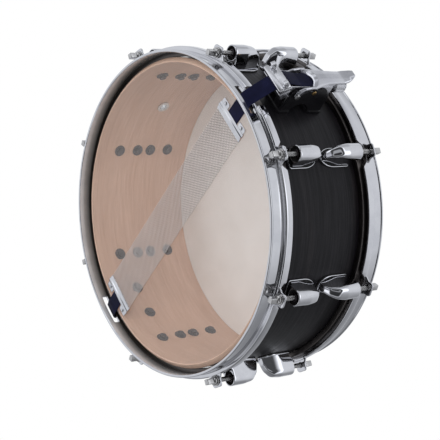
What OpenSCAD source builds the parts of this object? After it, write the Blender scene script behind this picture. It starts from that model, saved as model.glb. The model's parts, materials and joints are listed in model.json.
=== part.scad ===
// Snare drum, 14 inch by 5.5 inch, standing on its snare-side rim with the playing head up.
// Millimetres. +Z points up through the batter head, and the origin is on the drum axis in the
// plane of the bottom rim. Heights called h are measured from the middle of the shell towards a rim.

/* [Shell] */
// Outside diameter of the wooden shell
shell_d = 355; // [345:1:360]
// Depth of the shell from one bearing edge to the other
shell_depth = 139.7; // [130:0.1:160]
// Thickness of the ply wall
shell_wall = 6; // [4:0.5:8]
// Depth of the snare beds in the lower bearing edge
bed_depth = 1.5; // [0:0.1:3]
// Radius of the vent hole through the shell
vent_hole_r = 5.6; // [4:0.1:7]
// Height of the vent above the middle of the shell
vent_offset = 4; // [-10:1:10]

/* [Heads] */
// Thickness of the head films, heavier than the real film so that they stay sound solids
film = 0.5; // [0.3:0.1:1]
// Height of the aluminium flesh hoop that carries each film
flesh_hoop_height = 10.9; // [8:0.1:12]

/* [Hoops] */
// Height of each rim above the bearing edge
rim_rise = 10.95; // [8:0.05:14]
// Inside radius of the hoop wall
hoop_r = 182.7; // [182:0.1:184]
// Thickness of the hoop steel
hoop_t = 2.3; // [1.6:0.1:3]
// Outside radius of the lower lip of the hoop
lip_r = 190; // [189:0.1:191]
// Height of the step that carries the ears
step_h = 64.3; // [63:0.1:66]
// Height of the lower edge of the lip
lip_h = 55; // [53:0.5:58]
// Radius of the rounded end of each ear
ear_r = 7.9; // [6:0.1:9]

/* [Tension rods and lugs] */
// Number of tension rods on each side
rods = 8; // [8:1:8]
// Radius of the circle on which the rods stand
rod_circle_r = 195.1; // [194:0.1:196]
// Radius of a rod
rod_r = 2.8; // [2.4:0.1:3]
// Distance across the flats of the square key head
key_af = 6.3; // [5:0.1:7]
// Radius of the round receiver at the end of a lug
receiver_r = 9.3; // [8:0.1:10]
// Width of the foot of a lug
foot_w = 22; // [20:1:26]

/* [Snares] */
// Number of coiled strands
strands = 24; // [12:2:30]
// Distance between strands
strand_pitch = 2.1; // [1.8:0.05:2.1]
// Outside radius of a strand
strand_r = 0.8; // [0.5:0.05:0.9]
// Width of the straps
strap_w = 19.8; // [15:0.1:20]
// Thickness of the straps
strap_t = 0.8; // [0.4:0.1:1]

/* [Strainer] */
// Angle of the strainer around the drum
strainer_angle = -45; // [-45:1:-45]
// Distance of the lever pivot from the drum axis
pivot_r = 203.5; // [203:0.5:204]
// Height of the lever pivot from the middle, towards the snare side
pivot_h = 20.5; // [20:0.5:21]
// Distance of the adjusting screw from the drum axis
screw_r = 207.5; // [207.2:0.1:207.6]
// Radius of the adjusting screw
screw_thread_r = 2.95; // [2.5:0.05:3]
// Radius of the adjusting knob
knob_r = 8.5; // [7:0.1:8.5]

/* [Hidden] */
$fn = 96;
shell_r = shell_d / 2;
bore_r = shell_r - shell_wall;
half_depth = shell_depth / 2;
mid_z = half_depth + rim_rise;
rim_h = half_depth + rim_rise;
edge_r = bore_r + 1;
step_low_h = step_h - hoop_t;
wall_r = hoop_r + hoop_t;
running = 0.05;
head_gap = 0.3;
gasket_t = 0.6;
foot_r = shell_r + gasket_t;
lug_low_h = 3.5;
lug_foot_h = 42.5;
lug_end_h = 45;
lug_screws = [9.8, 36.7];
butt_angle = strainer_angle + 180;
vent_angle = strainer_angle - 90;
butt_screw_h = 26.9;
butt_screw_angle = 6.55;
base_screws = [-23, 23];
screw_hole_r = 2.3;
screw_shank_r = 2;
screw_tip_r = 187.5;
washer_r = 7;
washer_t = 1.2;
washer_seat_r = bore_r - 0.2;
insert_r = 4.6;
cheek_in = 10;
cheek_out = 12.8;
arm_in = 13.2;
arm_out = 15.8;
pin_r = 2;
tongue_r = 197.8;
tongue_t = 2.6;
tongue_w = 1.2;
wire_half = 146;
plate_end = 163;
wire_gap = 0.35;
wire_h = half_depth + film + wire_gap + strand_r;
clamp_centre = [212.5, 43.25];
clamp_tilt = 33.7;
clamp_run = 8 * [sin(clamp_tilt), -cos(clamp_tilt)];
strap_path = [
    [plate_end + 0.3, wire_h + 0.1], [176, wire_h - 0.6], [186, 69],
    clamp_centre - clamp_run, clamp_centre + clamp_run, [216.6, 32], [213.9, 16], [213.9, -3]
];
butt_path = [
    [plate_end + 0.3, wire_h + 0.1], [176, wire_h - 0.6], [186, 68.7], [189.6, 61],
    [189.6, 20]
];

// ---------- placing ----------

// h upwards, for pieces of the batter side
module batter_side() translate([0, 0, mid_z]) children();

// h downwards, for pieces of the snare side
module snare_side() translate([0, 0, mid_z]) mirror([0, 0, 1]) children();

function rod_angle(i) = 360 / rods * (i - 0.5);

module at_rod(i) rotate([0, 0, rod_angle(i)]) children();

module at_rods() for (i = [1:rods]) at_rod(i) children();

module at_strainer() rotate([0, 0, strainer_angle]) snare_side() children();

module at_butt() rotate([0, 0, butt_angle]) snare_side() children();

module at_butt_screws() {
    for (side = [-1, 1])
        at_butt() rotate([0, 0, side * butt_screw_angle]) translate([0, 0, butt_screw_h]) children();
}

// ---------- general shapes ----------

// ring about the drum axis
module ring(inner, outer, low, high) {
    translate([0, 0, low])
        difference() {
            cylinder(r = outer, h = high - low);
            translate([0, 0, -1]) cylinder(r = inner, h = high - low + 2);
        }
}

// outline in the radial plane, extruded sideways from from_y to to_y
module slab(outline, from_y, to_y) {
    translate([0, to_y, 0]) rotate([90, 0, 0]) linear_extrude(to_y - from_y) polygon(outline);
}

// outline seen from outside the drum (across, height), extruded outwards from from_x to to_x
module face_slab(from_x, to_x) {
    translate([from_x, 0, 0]) rotate([90, 0, 90]) linear_extrude(to_x - from_x) children();
}

// round bar pointing out from the drum axis
module radial_bar(r, from_x, to_x) {
    translate([from_x, 0, 0]) rotate([0, 90, 0]) cylinder(r = r, h = to_x - from_x);
}

// round bar across the drum radius
module cross_bar(r, x, h, from_y, to_y) {
    translate([x, to_y, h]) rotate([90, 0, 0]) cylinder(r = r, h = to_y - from_y);
}

module round_rect(w, low, high, r) {
    union() {
        translate([-w / 2 + r, low]) square([w - 2 * r, high - low]);
        translate([-w / 2, low + r]) square([w, high - low - 2 * r]);
        for (x = [-1, 1], y = [low + r, high - r]) translate([x * (w / 2 - r), y]) circle(r = r);
    }
}

// flat ribbon that follows a path of [distance, height] points
module ribbon(path) {
    last = len(path) - 1;
    function along(i) = let (
        a = path[max(i - 1, 0)], b = path[min(i + 1, last)], d = b - a
    ) d / norm(d);
    function edge(i, side) = path[i] + side * strap_t / 2 * [-along(i)[1], along(i)[0]];
    slab(
        concat([for (i = [0:last]) edge(i, 1)], [for (i = [last:-1:0]) edge(i, -1)]),
        -strap_w / 2, strap_w / 2
    );
}

// ---------- shell and heads ----------

module shell_edge_profile() {
    top = half_depth;
    polygon([
        [bore_r, -top + 1], [edge_r, -top], [shell_r, -top + (shell_r - edge_r)],
        [shell_r, top - (shell_r - edge_r)], [edge_r, top], [bore_r, top - 1]
    ]);
}

module shell() {
    bed_r = 1200;
    color([0.13, 0.12, 0.13])
        difference() {
            translate([0, 0, mid_z]) rotate_extrude() shell_edge_profile();
            at_strainer() translate([0, 0, half_depth - bed_depth + bed_r])
                rotate([0, 90, 0]) cylinder(r = bed_r, h = 2 * shell_d, center = true);
            for (i = [1:rods], h = lug_screws, side = [-1, 1])
                at_rod(i) translate([0, 0, mid_z + side * h])
                    radial_bar(screw_hole_r, bore_r - 3, shell_r + 3);
            for (h = base_screws)
                at_strainer() translate([0, 0, h]) radial_bar(screw_hole_r, bore_r - 3, shell_r + 3);
            at_butt_screws() radial_bar(screw_hole_r, bore_r - 3, shell_r + 3);
            rotate([0, 0, vent_angle]) translate([0, 0, mid_z + vent_offset])
                radial_bar(vent_hole_r, bore_r - 3, shell_r + 3);
        }
}

module vent_grommet() {
    flange_r = vent_hole_r + 2.6;
    color([0.8, 0.8, 0.82])
        rotate([0, 0, vent_angle]) translate([0, 0, mid_z + vent_offset])
            difference() {
                union() {
                    radial_bar(vent_hole_r, bore_r - 0.3, shell_r + 0.1);
                    radial_bar(flange_r, shell_r + 0.05, shell_r + 1.4);
                    radial_bar(flange_r - 0.6, bore_r - 1.5, bore_r - 0.25);
                }
                radial_bar(vent_hole_r - 1, bore_r - 4, shell_r + 3);
            }
}

module head_profile() {
    top = half_depth;
    collar_r = shell_r + head_gap;
    low_h = step_low_h - flesh_hoop_height + 2;
    polygon([
        [0, top], [edge_r + 0.1, top], [collar_r, top - (shell_r - edge_r)],
        [collar_r, low_h], [collar_r + film, low_h],
        [collar_r + film, top + film - (shell_r - edge_r)], [edge_r + 0.3, top + film],
        [0, top + film]
    ]);
}

module head() rotate_extrude() head_profile();

module flesh_hoop() {
    inner = shell_r + head_gap + film;
    ring(inner, hoop_r + 1.7, step_low_h - flesh_hoop_height, step_low_h);
}

module batter_head() color([0.93, 0.93, 0.91]) batter_side() head();

module snare_head() color([0.8, 0.75, 0.7, 0.6]) snare_side() head();

module batter_flesh_hoop() color([0.7, 0.71, 0.73]) batter_side() flesh_hoop();

module snare_flesh_hoop() color([0.7, 0.71, 0.73]) snare_side() flesh_hoop();

// ---------- hoops ----------

module hoop_profile() {
    bead = 1;
    corner = 1.2;
    polygon([
        [hoop_r, rim_h], [wall_r + bead, rim_h], [wall_r + bead, rim_h - 2],
        [wall_r, rim_h - 3], [wall_r, step_h], [lip_r - corner, step_h],
        [lip_r, step_h - corner], [lip_r, lip_h], [lip_r - hoop_t, lip_h],
        [lip_r - hoop_t, step_low_h], [hoop_r, step_low_h]
    ]);
}

module ear_outline() {
    translate([rod_circle_r, 0]) circle(r = ear_r);
    polygon([
        [wall_r + 1.5, -13.4], [wall_r + 1.5, 13.4], [lip_r - 1, 12], [rod_circle_r, ear_r],
        [rod_circle_r, -ear_r], [lip_r - 1, -12]
    ]);
}

// the lip stops either side of an ear, with sloping ends
module lip_gap() {
    face_slab(lip_r - hoop_t - 1, lip_r + 2)
        polygon([
            [-8.3, step_low_h - 0.3], [8.3, step_low_h - 0.3],
            [16.6, lip_h - 1], [-16.6, lip_h - 1]
        ]);
}

module plain_hoop() {
    ear_inset = 0.15;
    difference() {
        union() {
            rotate_extrude() hoop_profile();
            at_rods() translate([0, 0, step_low_h + ear_inset])
                linear_extrude(hoop_t - 2 * ear_inset) ear_outline();
        }
        at_rods() lip_gap();
        at_rods() translate([rod_circle_r, 0, step_low_h - 1])
            cylinder(r = rod_r + 0.6, h = hoop_t + 2);
    }
}

// opening in the hoop wall and lip through which a strap leaves
module snare_gate() {
    window_half_w = 20;
    window_low_h = 66.5;
    window_high_h = 74;
    lip_half_w = 14;
    face_slab(hoop_r - 3, wall_r + 3) translate([-window_half_w, window_low_h])
        square([2 * window_half_w, window_high_h - window_low_h]);
    face_slab(wall_r, lip_r + 2) translate([-lip_half_w, lip_h - 1])
        square([2 * lip_half_w, window_low_h - lip_h + 1]);
}

module batter_hoop() color([0.78, 0.78, 0.8]) batter_side() plain_hoop();

module snare_hoop() {
    color([0.78, 0.78, 0.8])
        difference() {
            snare_side() plain_hoop();
            at_strainer() snare_gate();
            at_butt() snare_gate();
        }
}

// ---------- lugs, rods and fasteners ----------

// foot seen from outside: rounded towards the middle of the drum, squarer towards the rim
module foot_outline() {
    union() {
        round_rect(foot_w, lug_low_h, lug_foot_h, 9.5);
        round_rect(foot_w, lug_low_h + 14, lug_foot_h, 3);
    }
}

module lug() {
    top_r = rod_circle_r + receiver_r;
    slope_end_h = 29;
    tip_h = lug_low_h + 1;
    tip_w = 14.4;
    bore_end_h = 23.5;
    window_h = 13;
    difference() {
        union() {
            intersection() {
                face_slab(foot_r - 2, foot_r + 3) foot_outline();
                ring(foot_r, foot_r + 2.6, 0, lug_end_h + 5);
            }
            intersection() {
                slab([
                    [foot_r + 1, tip_h], [186, tip_h], [188, tip_h + 2.5],
                    [top_r, slope_end_h], [top_r, lug_end_h], [rod_circle_r - receiver_r, lug_end_h],
                    [rod_circle_r - receiver_r, lug_foot_h - 2], [foot_r + 1, lug_foot_h - 2]
                ], -receiver_r, receiver_r);
                union() {
                    translate([rod_circle_r, 0, 0]) cylinder(r = receiver_r, h = lug_end_h + 1);
                    face_slab(foot_r, rod_circle_r) polygon([
                        [-receiver_r, lug_end_h], [-receiver_r, slope_end_h], [-tip_w / 2, tip_h],
                        [tip_w / 2, tip_h], [receiver_r, slope_end_h], [receiver_r, lug_end_h]
                    ]);
                }
            }
        }
        translate([rod_circle_r, 0, 27]) cylinder(r = insert_r, h = lug_end_h);
        translate([rod_circle_r, 0, bore_end_h]) cylinder(r = rod_r + 0.6, h = lug_end_h);
        for (h = lug_screws)
            translate([0, 0, h]) radial_bar(screw_shank_r, shell_r - 2, screw_tip_r + 0.1);
        for (side = [-1, 1])
            translate([184, side * 7.5 - 2.5, window_h + 3]) cube([5, 5, 7]);
    }
}

module insert() {
    translate([rod_circle_r, 0, 27])
        difference() {
            cylinder(r = insert_r, h = 17.5);
            translate([0, 0, -1]) cylinder(r = rod_r + running, h = 20);
        }
}

module tension_rod() {
    collar_h = step_h + washer_t + 0.15;
    collar_top_h = collar_h + 2.6;
    tip_h = 24.5;
    head_top_h = 77.5;
    color([0.75, 0.75, 0.78])
        translate([rod_circle_r, 0, 0])
            union() {
                translate([0, 0, tip_h]) cylinder(r = rod_r, h = collar_h - tip_h + 1);
                translate([0, 0, collar_h]) cylinder(r = 5.2, h = collar_top_h - collar_h);
                translate([-key_af / 2, -key_af / 2, collar_top_h - 1])
                    cube([key_af, key_af, head_top_h - collar_top_h + 1]);
            }
}

module batter_lug(i) color([0.78, 0.78, 0.8]) batter_side() at_rod(i) lug();

module snare_lug(i) color([0.78, 0.78, 0.8]) snare_side() at_rod(i) lug();

module batter_rod(i) batter_side() at_rod(i) tension_rod();

module snare_rod(i) snare_side() at_rod(i) tension_rod();

module gasket() {
    difference() {
        intersection() {
            face_slab(shell_r - 2, shell_r + 3) foot_outline();
            ring(shell_r, foot_r, 0, lug_end_h + 5);
        }
        for (h = lug_screws)
            translate([0, 0, h]) radial_bar(screw_hole_r, shell_r - 3, shell_r + 4);
    }
}

module lug_gaskets() {
    color([0.05, 0.05, 0.05]) {
        batter_side() at_rods() gasket();
        snare_side() at_rods() gasket();
    }
}

module brass_inserts() {
    color([0.75, 0.55, 0.3]) {
        batter_side() at_rods() insert();
        snare_side() at_rods() insert();
        for (side = [-1, 1])
            at_strainer() mirror([0, side < 0 ? 1 : 0, 0])
                cross_bar(2.8, 206.5, -4, cheek_in + 1, cheek_out + 0.9);
    }
}

// screw from inside the shell, with its head against a washer
module mounting_screw() {
    seat_r = washer_seat_r - washer_t;
    radial_bar(screw_shank_r, seat_r - 1, screw_tip_r);
    radial_bar(4, seat_r - 3, seat_r);
}

module screw_washer() {
    difference() {
        radial_bar(washer_r, washer_seat_r - washer_t, washer_seat_r);
        radial_bar(screw_shank_r, washer_seat_r - 3, washer_seat_r + 3);
    }
}

// every place where a screw passes through the shell
module at_shell_screws() {
    for (i = [1:rods], h = lug_screws, side = [-1, 1])
        at_rod(i) translate([0, 0, mid_z + side * h]) children();
    for (h = base_screws)
        at_strainer() translate([0, 0, h]) children();
    at_butt_screws() children();
}

module mounting_screws() color([0.6, 0.6, 0.62]) at_shell_screws() mounting_screw();

module screw_washers() color([0.3, 0.28, 0.3]) at_shell_screws() screw_washer();

module rod_washers() {
    color([0.7, 0.7, 0.72]) {
        batter_side() at_rods() rod_washer();
        snare_side() at_rods() rod_washer();
    }
}

module rod_washer() {
    translate([rod_circle_r, 0, step_h])
        difference() {
            cylinder(r = 6.2, h = washer_t);
            translate([0, 0, -1]) cylinder(r = rod_r + 0.3, h = washer_t + 2);
        }
}

// ---------- strainer ----------

module throw_off_base() {
    arch_h = 2.2;
    arch_r = 13.2;
    color([0.06, 0.06, 0.06])
        at_strainer()
            difference() {
                union() {
                    intersection() {
                        face_slab(shell_r - 10, shell_r + 5) round_rect(29, -31, 31, 4);
                        ring(shell_r, shell_r + 4, -40, 40);
                    }
                    for (h = base_screws) translate([0, 0, h]) radial_bar(5, shell_r + 1, 189);
                    for (side = [-1, 1]) mirror([0, side < 0 ? 1 : 0, 0]) {
                        slab([
                            [shell_r + 2, -30], [shell_r + 2, 29], [198, 27], [pivot_r + 3, pivot_h + 4.5],
                            [pivot_r + 5.3, pivot_h - 3], [211.2, 8], [211.2, -20], [203, -28]
                        ], cheek_in, cheek_out);
                        cross_bar(5, pivot_r, pivot_h, cheek_in, cheek_out);
                    }
                }
                cross_bar(arch_r, shell_r - 1, arch_h, -30, 30);
                slab([
                    [tongue_r, -40], [tongue_r + tongue_t + 0.4, -40],
                    [tongue_r + tongue_t + 0.4, 40], [tongue_r, 40]
                ], -cheek_in - tongue_w, cheek_in + tongue_w);
                cross_bar(pin_r, pivot_r, pivot_h, -30, 30);
                cross_bar(2.8, 206.5, -4, -30, 30);
                for (h = base_screws)
                    translate([0, 0, h]) radial_bar(screw_shank_r, shell_r - 5, screw_tip_r + 0.1);
            }
}

module lever_pins() {
    color([0.75, 0.75, 0.77])
        at_strainer()
            for (side = [-1, 1]) mirror([0, side < 0 ? 1 : 0, 0]) {
                cross_bar(pin_r, pivot_r, pivot_h, cheek_in, arm_out + 1.2);
                cross_bar(3.4, pivot_r, pivot_h, arm_out + 0.2, arm_out + 1.4);
            }
}

// half width of the lever seen from outside, as an outline that ends in a flared round tip
module lever_plan(inset) {
    mouth_w = arm_out - inset;
    neck_w = 10.3 - inset;
    tip_h = -60 + inset;
    polygon(concat(
        [[-mouth_w, 12], [-mouth_w, 2], [-neck_w - 2, -10], [-neck_w, -20], [-neck_w, -48]],
        [for (t = [15:15:165]) [-neck_w * cos(t), -48 + (48 + tip_h) * sin(t)]],
        [[neck_w, -48], [neck_w, -20], [neck_w + 2, -10], [mouth_w, 2], [mouth_w, 12]]
    ));
}

module throw_off_lever() {
    skin = 2.2;
    low_r = 213.8;
    color([0.78, 0.78, 0.8])
        at_strainer()
            difference() {
                union() {
                    difference() {
                        intersection() {
                            slab([
                                [low_r, 9], [216.6, 9], [216.8, -0.5], [219.3, -5], [220, -20], [220.3, -44],
                                [222.5, -52], [226.3, -60], [224, -60], [220.3, -51], [218, -44],
                                [217.8, -31], [low_r, -29]
                            ], -arm_out, arm_out);
                            face_slab(low_r, 230) lever_plan(0);
                        }
                        intersection() {
                            slab([
                                [low_r - 1, 10], [216.8 - skin, 10], [217 - skin, -1], [219.3 - skin, -6],
                                [220 - skin, -20], [220 - skin, -28], [low_r - 1, -28]
                            ], -arm_out, arm_out);
                            face_slab(low_r - 1, 230) lever_plan(2);
                        }
                        face_slab(low_r - 1, 230) translate([0, 17.1]) circle(r = 17.5);
                    }
                    for (side = [-1, 1]) mirror([0, side < 0 ? 1 : 0, 0]) {
                        slab([
                            [pivot_r - 2.4, pivot_h - 3.2], [pivot_r + 1.5, pivot_h + 3.7],
                            [211, 21.5], [214.6, 15], [216.6, 7], [216.8, -0.5], [low_r, -3], [210, 7]
                        ], arm_in, arm_out);
                        cross_bar(4, pivot_r, pivot_h, arm_in, arm_out);
                    }
                }
                cross_bar(pin_r + running, pivot_r, pivot_h, -30, 30);
            }
}

module lift_yoke() {
    half_w = cheek_in - 0.3;
    low_h = -30;
    high_h = 30;
    color([0.74, 0.74, 0.77])
        at_strainer()
            difference() {
                union() {
                    slab([[198, low_h], [212.9, low_h], [212.9, high_h], [198, high_h]], -half_w, half_w);
                    slab([
                        [tongue_r + 0.2, low_h], [tongue_r + 0.2 + tongue_t, low_h],
                        [tongue_r + 0.2 + tongue_t, high_h], [tongue_r + 0.2, high_h]
                    ], 0.2 - cheek_in - tongue_w, cheek_in + tongue_w - 0.2);
                }
                translate([screw_r, 0, -40]) cylinder(r = screw_thread_r + running, h = 90);
            }
}

module tension_knob() {
    knob_low = -53;
    knob_high = -37;
    grips = 16;
    color([0.62, 0.62, 0.66])
        at_strainer() translate([screw_r, 0, 0])
            difference() {
                union() {
                    translate([0, 0, knob_low]) cylinder(r = knob_r, h = knob_high - knob_low);
                    translate([0, 0, knob_high - 1]) cylinder(r = 5, h = 7.7);
                    translate([0, 0, knob_high - 1]) cylinder(r = screw_thread_r, h = 42.5 - knob_high);
                }
                for (k = [1:grips])
                    rotate([0, 0, 360 / grips * k]) translate([knob_r + 0.5, 0, knob_low + 2])
                        cylinder(r = 1, h = knob_high - knob_low - 4);
                translate([-knob_r, -1, knob_low - 1]) cube([2 * knob_r, 2, 3]);
            }
}

// frame of the clamp: x away from the drum across the strap, z against the strap's run
module in_clamp() translate([clamp_centre[0], 0, clamp_centre[1]]) rotate([0, -clamp_tilt, 0]) children();

module clamp_screw_places() in_clamp() for (y = [-14, 14]) translate([0, y, -1]) children();

module strap_clamp() {
    color([0.78, 0.78, 0.8])
        at_strainer()
            difference() {
                union() {
                    intersection() {
                        in_clamp() translate([-9, -18, -7.5]) cube([8.55, 36, 15]);
                        translate([190, -20, 38]) cube([40, 40, 20]);
                    }
                    intersection() {
                        translate([screw_r, 0, 33]) cylinder(r = 5.6, h = 12);
                        in_clamp() translate([-30, -10, -30]) cube([29.55, 20, 60]);
                    }
                }
                translate([screw_r, 0, 30]) cylinder(r = screw_thread_r + running, h = 30);
                clamp_screw_places() radial_bar(screw_shank_r, -7, 10);
            }
}

module clamp_plate() {
    color([0.8, 0.8, 0.82])
        at_strainer()
            difference() {
                in_clamp() union() {
                    translate([0.45, -18, -7.5]) cube([3.6, 36, 15]);
                    translate([0.45, -18, 2.5]) cube([6.4, 36, 5]);
                }
                clamp_screw_places() radial_bar(screw_shank_r, -7, 10);
            }
}

// key screw that closes a clamp, along x from its tip to the square head
module key_screw(tip, seat) {
    radial_bar(screw_shank_r, tip, seat + 0.5);
    radial_bar(3.2, seat, seat + 2);
    translate([seat + 1.5, -2.6, -2.6]) cube([6, 5.2, 5.2]);
}

module clamp_screws() color([0.75, 0.75, 0.77]) at_strainer() clamp_screw_places() key_screw(-7, 4.05);

module strainer_strap() color([0.06, 0.07, 0.18]) at_strainer() ribbon(strap_path);

// ---------- snares ----------

module snare_wires() {
    color([0.75, 0.75, 0.77])
        at_strainer()
            for (k = [0:strands - 1])
                translate([0, (k - (strands - 1) / 2) * strand_pitch, wire_h])
                    radial_bar(strand_r, -wire_half, wire_half);
}

module snare_end_plates() {
    color([0.78, 0.78, 0.8])
        at_strainer()
            for (side = [-1, 1]) mirror([side < 0 ? 1 : 0, 0, 0])
                difference() {
                    translate([wire_half, -26, wire_h - strand_r]) cube([plate_end - wire_half, 52, 2.2]);
                    for (y = [-1, 1])
                        translate([wire_half + 10.5, y * 5.5 - 4, wire_h - strand_r - 1])
                            cube([2.4, 8, 5]);
                }
}

// ---------- butt end ----------

butt_face_r = 189.6 - strap_t / 2 - 0.05;

module butt_screw_places() for (y = [-1, 1]) translate([0, y * 13, 29]) children();

module butt_body() {
    color([0.78, 0.78, 0.8])
        difference() {
            at_butt() {
                intersection() {
                    face_slab(shell_r - 10, shell_r + 15) round_rect(56, 14, 40, 6);
                    ring(shell_r, shell_r + 4, 0, 50);
                }
                face_slab(shell_r + 2, butt_face_r) round_rect(34, 18, 38, 4);
            }
            at_butt_screws() radial_bar(screw_shank_r, shell_r - 9, screw_tip_r + 0.1);
            at_butt() butt_screw_places() radial_bar(screw_shank_r, 183, 195);
        }
}

module butt_plate() {
    color([0.8, 0.8, 0.82])
        at_butt()
            difference() {
                face_slab(butt_face_r + strap_t + 0.1, butt_face_r + strap_t + 3.1)
                    round_rect(34, 21, 37, 3);
                butt_screw_places() radial_bar(screw_shank_r, 183, 195);
            }
}

module butt_clamp_screws() {
    color([0.75, 0.75, 0.77])
        at_butt() butt_screw_places() key_screw(183, butt_face_r + strap_t + 3.1);
}

module butt_strap() color([0.06, 0.07, 0.18]) at_butt() ribbon(butt_path);

// ---------- nodes ----------

shell();
vent_grommet();
batter_head();
batter_flesh_hoop();
batter_hoop();
snare_head();
snare_flesh_hoop();
snare_hoop();
for (i = [1:rods]) {
    batter_lug(i);
    snare_lug(i);
    batter_rod(i);
    snare_rod(i);
}
lug_gaskets();
brass_inserts();
mounting_screws();
screw_washers();
rod_washers();
throw_off_base();
lever_pins();
throw_off_lever();
lift_yoke();
tension_knob();
strap_clamp();
clamp_plate();
clamp_screws();
strainer_strap();
snare_wires();
snare_end_plates();
butt_body();
butt_plate();
butt_clamp_screws();
butt_strap();
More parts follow.
